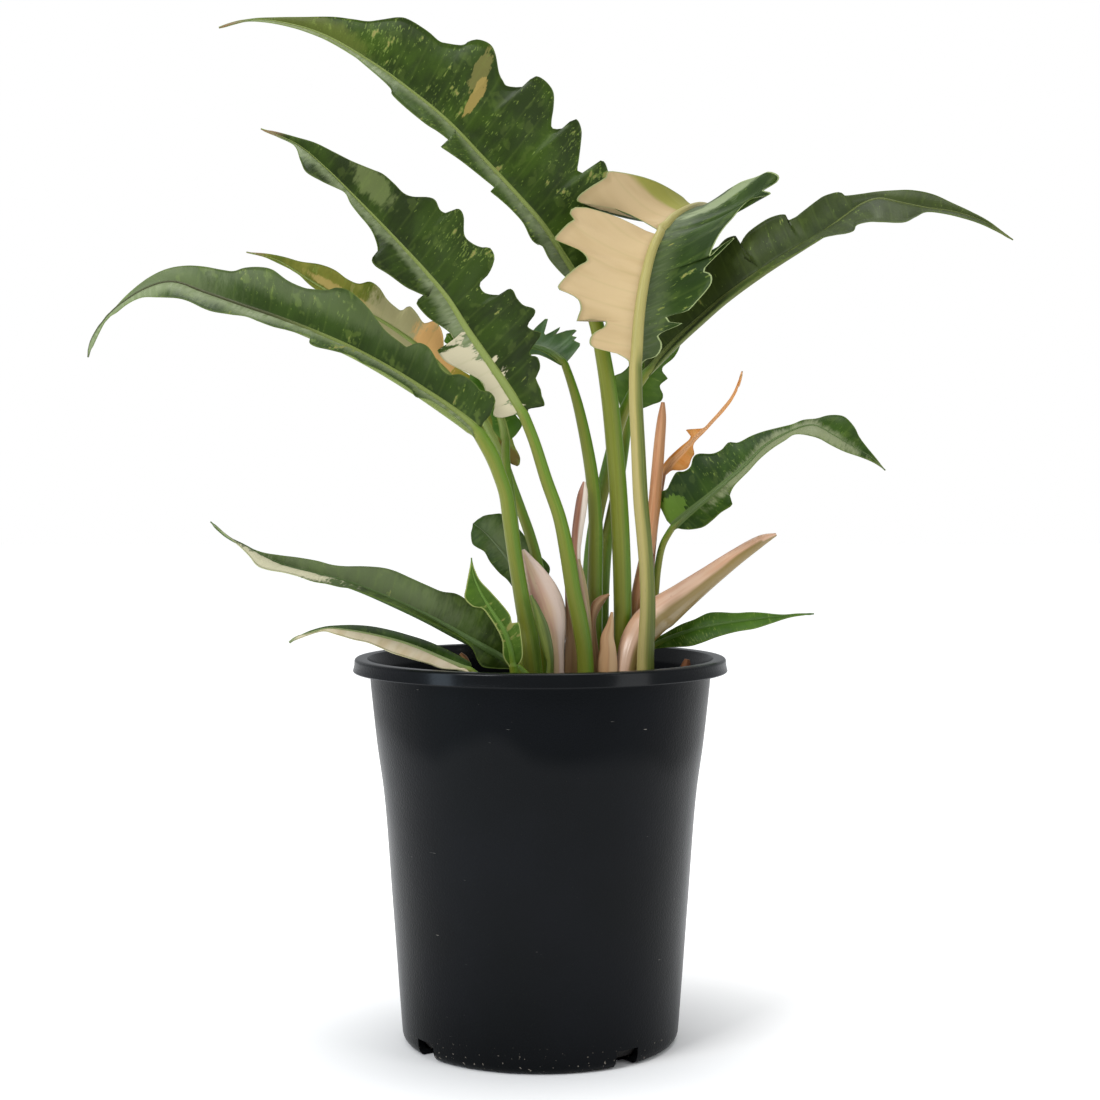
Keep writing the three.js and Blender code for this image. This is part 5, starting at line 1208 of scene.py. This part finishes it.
def crumbs(name, ground, amount, low, high, flat, seed, material):
    """Crumbs strewn over the top of the mix by a Geometry Nodes tree, kept as a plain mesh."""
    tree = bpy.data.node_groups.new(name + "_tree", "GeometryNodeTree")
    face = tree.interface
    face.new_socket("Geometry", in_out="INPUT", socket_type="NodeSocketGeometry")
    for label in ("Amount", "Smallest", "Largest", "Flatness"):
        face.new_socket(label, in_out="INPUT", socket_type="NodeSocketFloat")
    face.new_socket("Geometry", in_out="OUTPUT", socket_type="NodeSocketGeometry")

    def node(kind, links=None, **settings):
        made = tree.nodes.new(kind)
        for key, value in settings.items():
            setattr(made, key, value)
        for key, value in (links or {}).items():
            if isinstance(value, bpy.types.NodeSocket):
                tree.links.new(value, made.inputs[key])
            else:
                made.inputs[key].default_value = value
        return made

    entry = node("NodeGroupInput").outputs
    spread = node("GeometryNodeDistributePointsOnFaces", {
        "Mesh": entry["Geometry"], "Density": entry["Amount"], "Seed": seed})
    lump = node("GeometryNodeMeshIcoSphere", {"Radius": 1.0, "Subdivisions": 2})
    place = node("GeometryNodeInputPosition")
    wobble = node("ShaderNodeTexNoise", {"Vector": place.outputs[0], "Scale": 1.7})
    less = node("ShaderNodeVectorMath", {0: wobble.outputs["Color"], 1: (0.5, 0.5, 0.5)},
                operation="SUBTRACT")
    shaped = node("GeometryNodeSetPosition", {"Geometry": lump.outputs["Mesh"], "Offset": less.outputs[0]})
    turn = node("FunctionNodeRandomValue", {"Min": (0, 0, 0), "Max": (6.28, 6.28, 6.28), "Seed": seed + 1},
                data_type="FLOAT_VECTOR")
    size = node("FunctionNodeRandomValue", {2: entry["Smallest"], 3: entry["Largest"], "Seed": seed + 2},
                data_type="FLOAT")
    thin = node("ShaderNodeMath", {0: size.outputs[1], 1: entry["Flatness"]}, operation="MULTIPLY")
    scale = node("ShaderNodeCombineXYZ", {0: size.outputs[1], 1: thin.outputs[0], 2: thin.outputs[0]})
    copies = node("GeometryNodeInstanceOnPoints", {
        "Points": spread.outputs["Points"], "Instance": shaped.outputs["Geometry"],
        "Rotation": turn.outputs[0], "Scale": scale.outputs[0]})
    real = node("GeometryNodeRealizeInstances", {"Geometry": copies.outputs[0]})
    coat = node("GeometryNodeSetMaterial", {"Geometry": real.outputs[0]})
    coat.inputs["Material"].default_value = material
    leave = node("NodeGroupOutput", {0: coat.outputs[0]})
    leave.is_active_output = True

    piece = ground.copy()
    piece.data = ground.data.copy()
    piece.name = name
    bpy.context.scene.collection.objects.link(piece)
    strew = piece.modifiers.new("strew", "NODES")
    strew.node_group = tree
    values = {"Amount": amount, "Smallest": low * MM, "Largest": high * MM, "Flatness": flat}
    for item in face.items_tree:
        if item.in_out == "INPUT" and item.name in values:
            strew[item.identifier] = values[item.name]
    apply_modifiers(piece)
    soften(piece, CRUMB_CREASE)
    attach(piece, "root")


def make_mix():
    edge = inner_radius(SOIL_TOP) - SOIL_GAP
    profile = [(0, FLOOR + 0.6), (inner_radius(7) - 5, FLOOR + 0.6), (inner_radius(9) - SOIL_GAP, 9),
               (inner_radius(127.5) - SOIL_GAP, 127.5), (edge, SOIL_TOP - 1)]
    mix = turned("mix_body", profile + [(edge * (1 - i / 30), SOIL_TOP) for i in range(31)], SOIL_SIDES)
    for v in mix.data.vertices:
        x, y, z = v.co / MM
        if z > SOIL_TOP - 0.5:
            near = ease((edge - math.hypot(x, y)) / SOIL_FADE)
            rough = 1.4 * noise.noise(Vector((x * 0.13, y * 0.13, 3)))
            rough += 0.8 * noise.noise(Vector((x, y, 9)) * 0.4)
            v.co.z = (SOIL_TOP + (soil_rise(x, y) + rough) * near) * MM
    mix.data.materials.append(mix_finish())
    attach(mix, "root")
    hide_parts("soil")

    ground = mix.copy()
    ground.data = mix.data.copy()
    bm = bmesh.new()
    bm.from_mesh(ground.data)
    out = [f for f in bm.faces if f.normal.z < 0.3 or f.calc_center_median().xy.length > (edge - 4) * MM
           or f.calc_center_median().z < (SOIL_TOP - 6) * MM]
    bmesh.ops.delete(bm, geom=out, context="FACES")
    bm.to_mesh(ground.data)
    bm.free()
    crumbs("peat_crumbs", ground, 60000, 0.7, 1.9, 0.8, 5,
           crumb_finish("peat", paint(28, 20, 15), paint(70, 50, 36)))
    crumbs("bark_pieces", ground, 9000, 2.0, 4.4, 0.4, 12,
           crumb_finish("bark", paint(66, 42, 28), paint(134, 92, 60)))
    crumbs("perlite_grains", ground, 2600, 0.7, 1.5, 0.85, 21,
           crumb_finish("perlite", paint(176, 170, 158), paint(222, 218, 208)))


# Looks of each leaf. A patch is its place along as a share and out in millimetres, its half size in the
# same two measures, its colour, its strength and how soft its edge is. Out is positive on the a edge's side.
OLIVE = (paint(42, 53, 18), paint(54, 66, 24))
MOSS = (paint(30, 50, 8), paint(46, 70, 14))
LIME = (paint(52, 80, 14), paint(70, 98, 24))
UNDER = (paint(100, 118, 72), paint(126, 142, 96))
SILVER = paint(104, 116, 68)
BUFF_WHITE = paint(184, 176, 148)
BUFF_RIB = paint(150, 142, 84)
DRY_RIB = paint(196, 146, 100)
# the green stalks' two sides: painted shade in green and a painted yellow-green highlight
STALK_GREEN = (paint(80, 112, 14), paint(106, 112, 32))
STALK_CREAM = (paint(82, 92, 34), paint(158, 144, 88))

LEAF_LOOKS = {
    # leaf_01, leaf_02 and leaf_03 have one half painted paler grey-green beside the rib, a painted sheen
    "leaf_01": dict(fleck=1.4, blotch=0.8, painted_sheen_side=-1, tip=TIP_BROWN, patches=[
        (0.48, 37, 0.017, 17, paint(112, 108, 58), 0.7, 0),
        (0.455, 22, 0.011, 15, paint(150, 130, 70), 0.75, 0),
        (0.8, 2, 0.12, 9, paint(96, 104, 44), 0.5, 0.5)]),
    "leaf_02": dict(
        base=(paint(28, 41, 6), paint(43, 62, 10)), fleck=0.8, blotch=0.35, painted_sheen_side=-1, painted_sheen_reach=14,
        tip=TIP_BROWN, patches=[
            (0.7, 13, 0.07, 9, SILVER, 0.6, 0.3),
            (0.12, -14, 0.16, 16, BUFF_WHITE, 0.95, 0)]),
    "leaf_03": dict(
        base=(paint(38, 55, 15), paint(48, 68, 20)), fleck=0.6, blotch=0.4, spotted=0.3, painted_sheen_side=-1,
        # the darker far part of the midrib is a painted shade in its fold
        painted_sheen=0.8, rib_far=paint(66, 70, 38), tip=GREY_GREEN, patches=[
            # the two soft grey-green patches are a painted sheen
            (0.8, 2, 0.17, 16, GREY_GREEN, 0.5, 0.9),
            (0.45, 20, 0.3, 9, GREY_GREEN, 0.3, 0.9)]),
    "leaf_04": dict(
        base=(paint(80, 92, 28), paint(122, 120, 50)), fleck=0.9, blotch=1.3, tip=TIP_BROWN, patches=[
            (0.7, 3, 0.12, 2.5, paint(184, 156, 96), 0.6, 0.3),
            (0.48, 2, 0.15, 22, paint(158, 150, 112), 0.9, 0.4),
            (0.38, 6, 0.09, 13, paint(204, 156, 98), 0.9, 0.2),
            (0.27, 12, 0.06, 16, paint(132, 122, 40), 0.85, 0),
            (0.02, 0, 0.06, 14, paint(92, 74, 30), 0.8, 0.3)]),
    "leaf_05": dict(base=MOSS, fleck=0.8, edge_line=0.8, edge_width=1.1),
    "leaf_06": dict(base=OLIVE, fleck=0.6, blotch=0.3, spotted=0.06, rib=paint(88, 98, 42), rib_width=2.0),
    "leaf_07": dict(base=MOSS, fleck=1.3, blotch=0.4, rib=paint(84, 102, 56), patches=[
        (0.05, 7, 0.06, 8, paint(94, 124, 40), 0.75, 0),
        # the lighter grey-green below the rib is a painted sheen
        (0.55, -4, 0.35, 7, paint(132, 138, 104), 0.75, 0.5)]),
    "leaf_08": dict(base=LIME, fleck=0.9, rib=paint(70, 98, 30)),
    "leaf_09": dict(base=MOSS, fleck=0.3, rib=paint(70, 98, 30)),
    "leaf_10": dict(
        fleck=0.4, blotch=0.2, rib=paint(70, 92, 44), rib_width=1.2, tip=GREY_GREEN, patches=[
            # the soft grey-green patch is a painted sheen
            (0.55, 8, 0.36, 11, GREY_GREEN, 0.45, 0.9),
            (0.86, -13, 0.27, 12, paint(180, 176, 146), 0.95, 0.3)]),
    "leaf_11": dict(
        base=MOSS, fleck=0.4, cream_side=-1, cream=paint(190, 178, 154), rib=paint(120, 132, 84),
        rib_width=1.0, tip=GREY_GREEN),
    "leaf_12": dict(
        base=LIME, fleck=1.3, blotch=1.5, rib=paint(84, 116, 36), rib_width=1.2, edge_line=0.8,
        edge=paint(150, 158, 92), tip=LIME[1]),
    "leaf_13": dict(base=MOSS, fleck=0.4, rib=paint(84, 98, 60), rib_width=1.0, tip=MOSS[1], patches=[
        # the soft grey-green patch along the rib is a painted sheen
        (0.5, 4, 0.4, 9, GREY_GREEN, 0.5, 0.9)]),
    "leaf_14": dict(
        base=(paint(44, 74, 10), paint(62, 94, 18)), fleck=2.0, blotch=0.4, rib=paint(58, 88, 18),
        rib_width=0, tip=LIME[1]),
    "leaf_15": dict(base=(paint(50, 82, 14), paint(72, 104, 26)), fleck=1.2, tip=LIME[1]),
    "leaf_withered": dict(
        base=(paint(176, 106, 36), paint(208, 150, 88)), fleck=0.3, blotch=0.0, rib=DRY_RIB,
        edge=paint(176, 120, 70), tip=paint(150, 136, 84), rough=0.5),
}

# Undersides that differ from the plain one
PLAIN_UNDER = dict(base=UNDER, fleck=0.3, blotch=0.2, rough=0.42, gloss=0.3)
UNDER_LOOKS = {
    "leaf_02": dict(PLAIN_UNDER, base=(paint(78, 98, 50), paint(104, 122, 76))),
    # leaf_05's underside has a paler band beside the rib on one half, a painted sheen
    "leaf_05": dict(
        base=(paint(30, 48, 10), paint(46, 66, 20)), fleck=0.6, blotch=0.3, painted_sheen_side=1, painted_sheen=0.2,
        cream_side=-1, cream_end=0.47, rib=BUFF_RIB, rib_width=3.0, edge=paint(150, 162, 112),
        edge_line=0.8, edge_width=1.1, patches=[
            (0.43, 40, 0.035, 36, paint(138, 150, 112), 0.7, 0.4)]),
    "leaf_09": dict(base=(paint(56, 84, 44), paint(84, 108, 70)), fleck=0.3, edge_line=0.5),
    "leaf_withered": LEAF_LOOKS["leaf_withered"],
}

# Stalks that differ from the green ones: the two sides, the midrib near and far, the dashes
STALK_LOOKS = {
    "leaf_05": (STALK_CREAM, (BUFF_RIB, BUFF_RIB), 0.3),
    "leaf_withered": ((paint(176, 120, 80), paint(130, 84, 56)), (DRY_RIB, DRY_RIB), 0.1),
}


def make_leaf(name, spec):
    """One leaf with its three finishes: upper side, underside, and stalk with midrib."""
    length = Rib(spec).length
    seed = float(sum(map(ord, name)) % 40)
    look = LEAF_LOOKS[name]
    upper = blade_finish(name + "_upper", seed, length, **look)
    under = blade_finish(name + "_under", seed, length, **UNDER_LOOKS.get(name, PLAIN_UNDER))
    rib = look.get("rib", OLIVE_RIB)
    green = (STALK_GREEN, (rib, look.get("rib_far", rib)), 0.3)
    sides, ribs, dashes = STALK_LOOKS.get(name, green)
    stalk = stalk_finish(name + "_stalk", *sides, ribs, length, seed, dashes)
    piece = leaf_body(spec).build(name + "_blade", [upper, under, stalk])
    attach(piece, "root")
    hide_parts(name)


# Looks of each sheath: lighter colour, deeper colour, colour of the side towards +x (a painted highlight on
# sheath_small_spear, partly on sheath_front), sheen
BLUSH = (paint(202, 178, 148), paint(190, 150, 124))
BUFF = (paint(176, 140, 100), paint(138, 100, 66))
SHEATH_LOOKS = {
    "sheath_leaning": (paint(198, 164, 138), paint(186, 142, 112), paint(116, 100, 44), 0.6),
    "sheath_tall_spear": (paint(188, 140, 100), paint(172, 116, 78), paint(150, 106, 64), 0.4),
    "sheath_front": (paint(196, 168, 132), paint(184, 136, 118), paint(206, 184, 170), 0.9),
    "sheath_small_spear": (paint(158, 108, 82), paint(136, 86, 62), paint(226, 214, 200), 0.6),
    "sheath_strip": (*BLUSH, paint(150, 134, 84), 0.5),
    "sheath_curled": (*BUFF, paint(120, 92, 56), 0.4),
    "sheath_papery": (paint(184, 146, 106), paint(150, 108, 72), paint(190, 160, 124), 0.4),
    "sheath_tan": (*BUFF, paint(150, 122, 80), 0.4),
    "sheath_green": (paint(120, 132, 58), paint(84, 102, 36), paint(70, 88, 30), 0.4),
    "dry_stub": (paint(150, 108, 72), paint(106, 70, 42), paint(92, 62, 38), 0.2),
    "bark_chip": (paint(150, 100, 68), paint(104, 66, 42), paint(92, 58, 38), 0.1),
}


def make_sheath(name, spec):
    look = SHEATH_LOOKS[name]
    piece = sheath_body(spec).build(name + "_skin", [sheath_finish(name + "_finish", *look)])
    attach(piece, "root")
    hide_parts(name)


# Studio, in millimetres for the floor and metres for the lights
FLOOR_HALF = 9000
FLOOR_TOP = -0.4


def area_light(name, place, aim, size, power, tint=(1, 1, 1)):
    lamp = bpy.data.lights.new(name, "AREA")
    lamp.shape = "RECTANGLE"
    lamp.size, lamp.size_y = size
    lamp.energy = power
    lamp.color = tint
    thing = bpy.data.objects.new(name, lamp)
    thing.location = place
    thing.rotation_euler = (Vector(aim) - Vector(place)).to_track_quat("-Z", "Y").to_euler()
    bpy.context.scene.collection.objects.link(thing)


def studio():
    corners = ((-1, -1), (1, -1), (1, 1), (-1, 1))
    points = [Vector((x * FLOOR_HALF, y * FLOOR_HALF, FLOOR_TOP)) for x, y in corners]
    floor = piece_of("floor", points, [(0, 1, 2, 3)], smooth=False)
    f = Finish("pale_floor")
    place = f.object_place()
    x, y = f.axes(place, 0, 1)
    # the floor glows softly so that it stays white, but not under the pot, and the glow fades in out to a
    # third of a metre from the pot's axis: a painted soft shadow round the pot
    glow_past_painted_shadow = (x * x + y * y).power(0.5).step(0.07, 0.32)
    glow = f.mix(glow_past_painted_shadow, paint(0, 0, 0), paint(255, 255, 255))
    floor.data.materials.append(f.finish(base_color=paint(240, 240, 240), roughness=0.9,
                                         emission_strength=0.5, emission_color=glow))
    world = bpy.data.worlds.new("studio")
    world.use_nodes = True
    bpy.context.scene.world = world
    # the backdrop is white to the camera and dimmer as a light
    nodes, links = world.node_tree.nodes, world.node_tree.links
    sky = nodes["Background"]
    sky.inputs["Color"].default_value = (0.96, 0.98, 1, 1)
    sky.inputs["Strength"].default_value = 0.6
    backdrop = nodes.new("ShaderNodeBackground")
    backdrop.inputs["Strength"].default_value = 1.0
    backdrop.inputs["Color"].default_value = (1, 1, 1, 1)
    swap = nodes.new("ShaderNodeMixShader")
    links.new(nodes.new("ShaderNodeLightPath").outputs["Is Camera Ray"], swap.inputs[0])
    links.new(sky.outputs[0], swap.inputs[1])
    links.new(backdrop.outputs[0], swap.inputs[2])
    links.new(swap.outputs[0], nodes["World Output"].inputs["Surface"])
    area_light("key", (-1.3, -1.5, 1.7), (0, 0, 0.3), (0.9, 0.9), 34)
    area_light("cool_side", (-1.2, -0.7, 0.35), (0, 0, 0.15), (0.35, 0.9), 5, (0.7, 0.85, 1))
    area_light("fill", (1.7, -1.1, 0.9), (0, 0, 0.25), (0.8, 1.4), 9)
    area_light("top", (0.1, 0.2, 2.0), (0, 0, 0.3), (1.4, 1.4), 22)

    eye = bpy.data.cameras.new("photo_view")
    eye.sensor_width = 36
    eye.lens = LENS
    eye.clip_end = 40
    camera = bpy.data.objects.new("photo_view", eye)
    camera.location = EYE * MM
    camera.rotation_euler = (math.pi / 2 - LOOK_DOWN, 0, 0)
    bpy.context.scene.collection.objects.link(camera)
    bpy.context.scene.camera = camera
    bpy.context.scene.view_settings.view_transform = "Standard"


for leaf_name, leaf_spec in LEAVES.items():
    make_leaf(leaf_name, leaf_spec)
for sheath_name, sheath_spec in SHEATHS.items():
    make_sheath(sheath_name, sheath_spec)
make_pot()
make_mix()
studio()
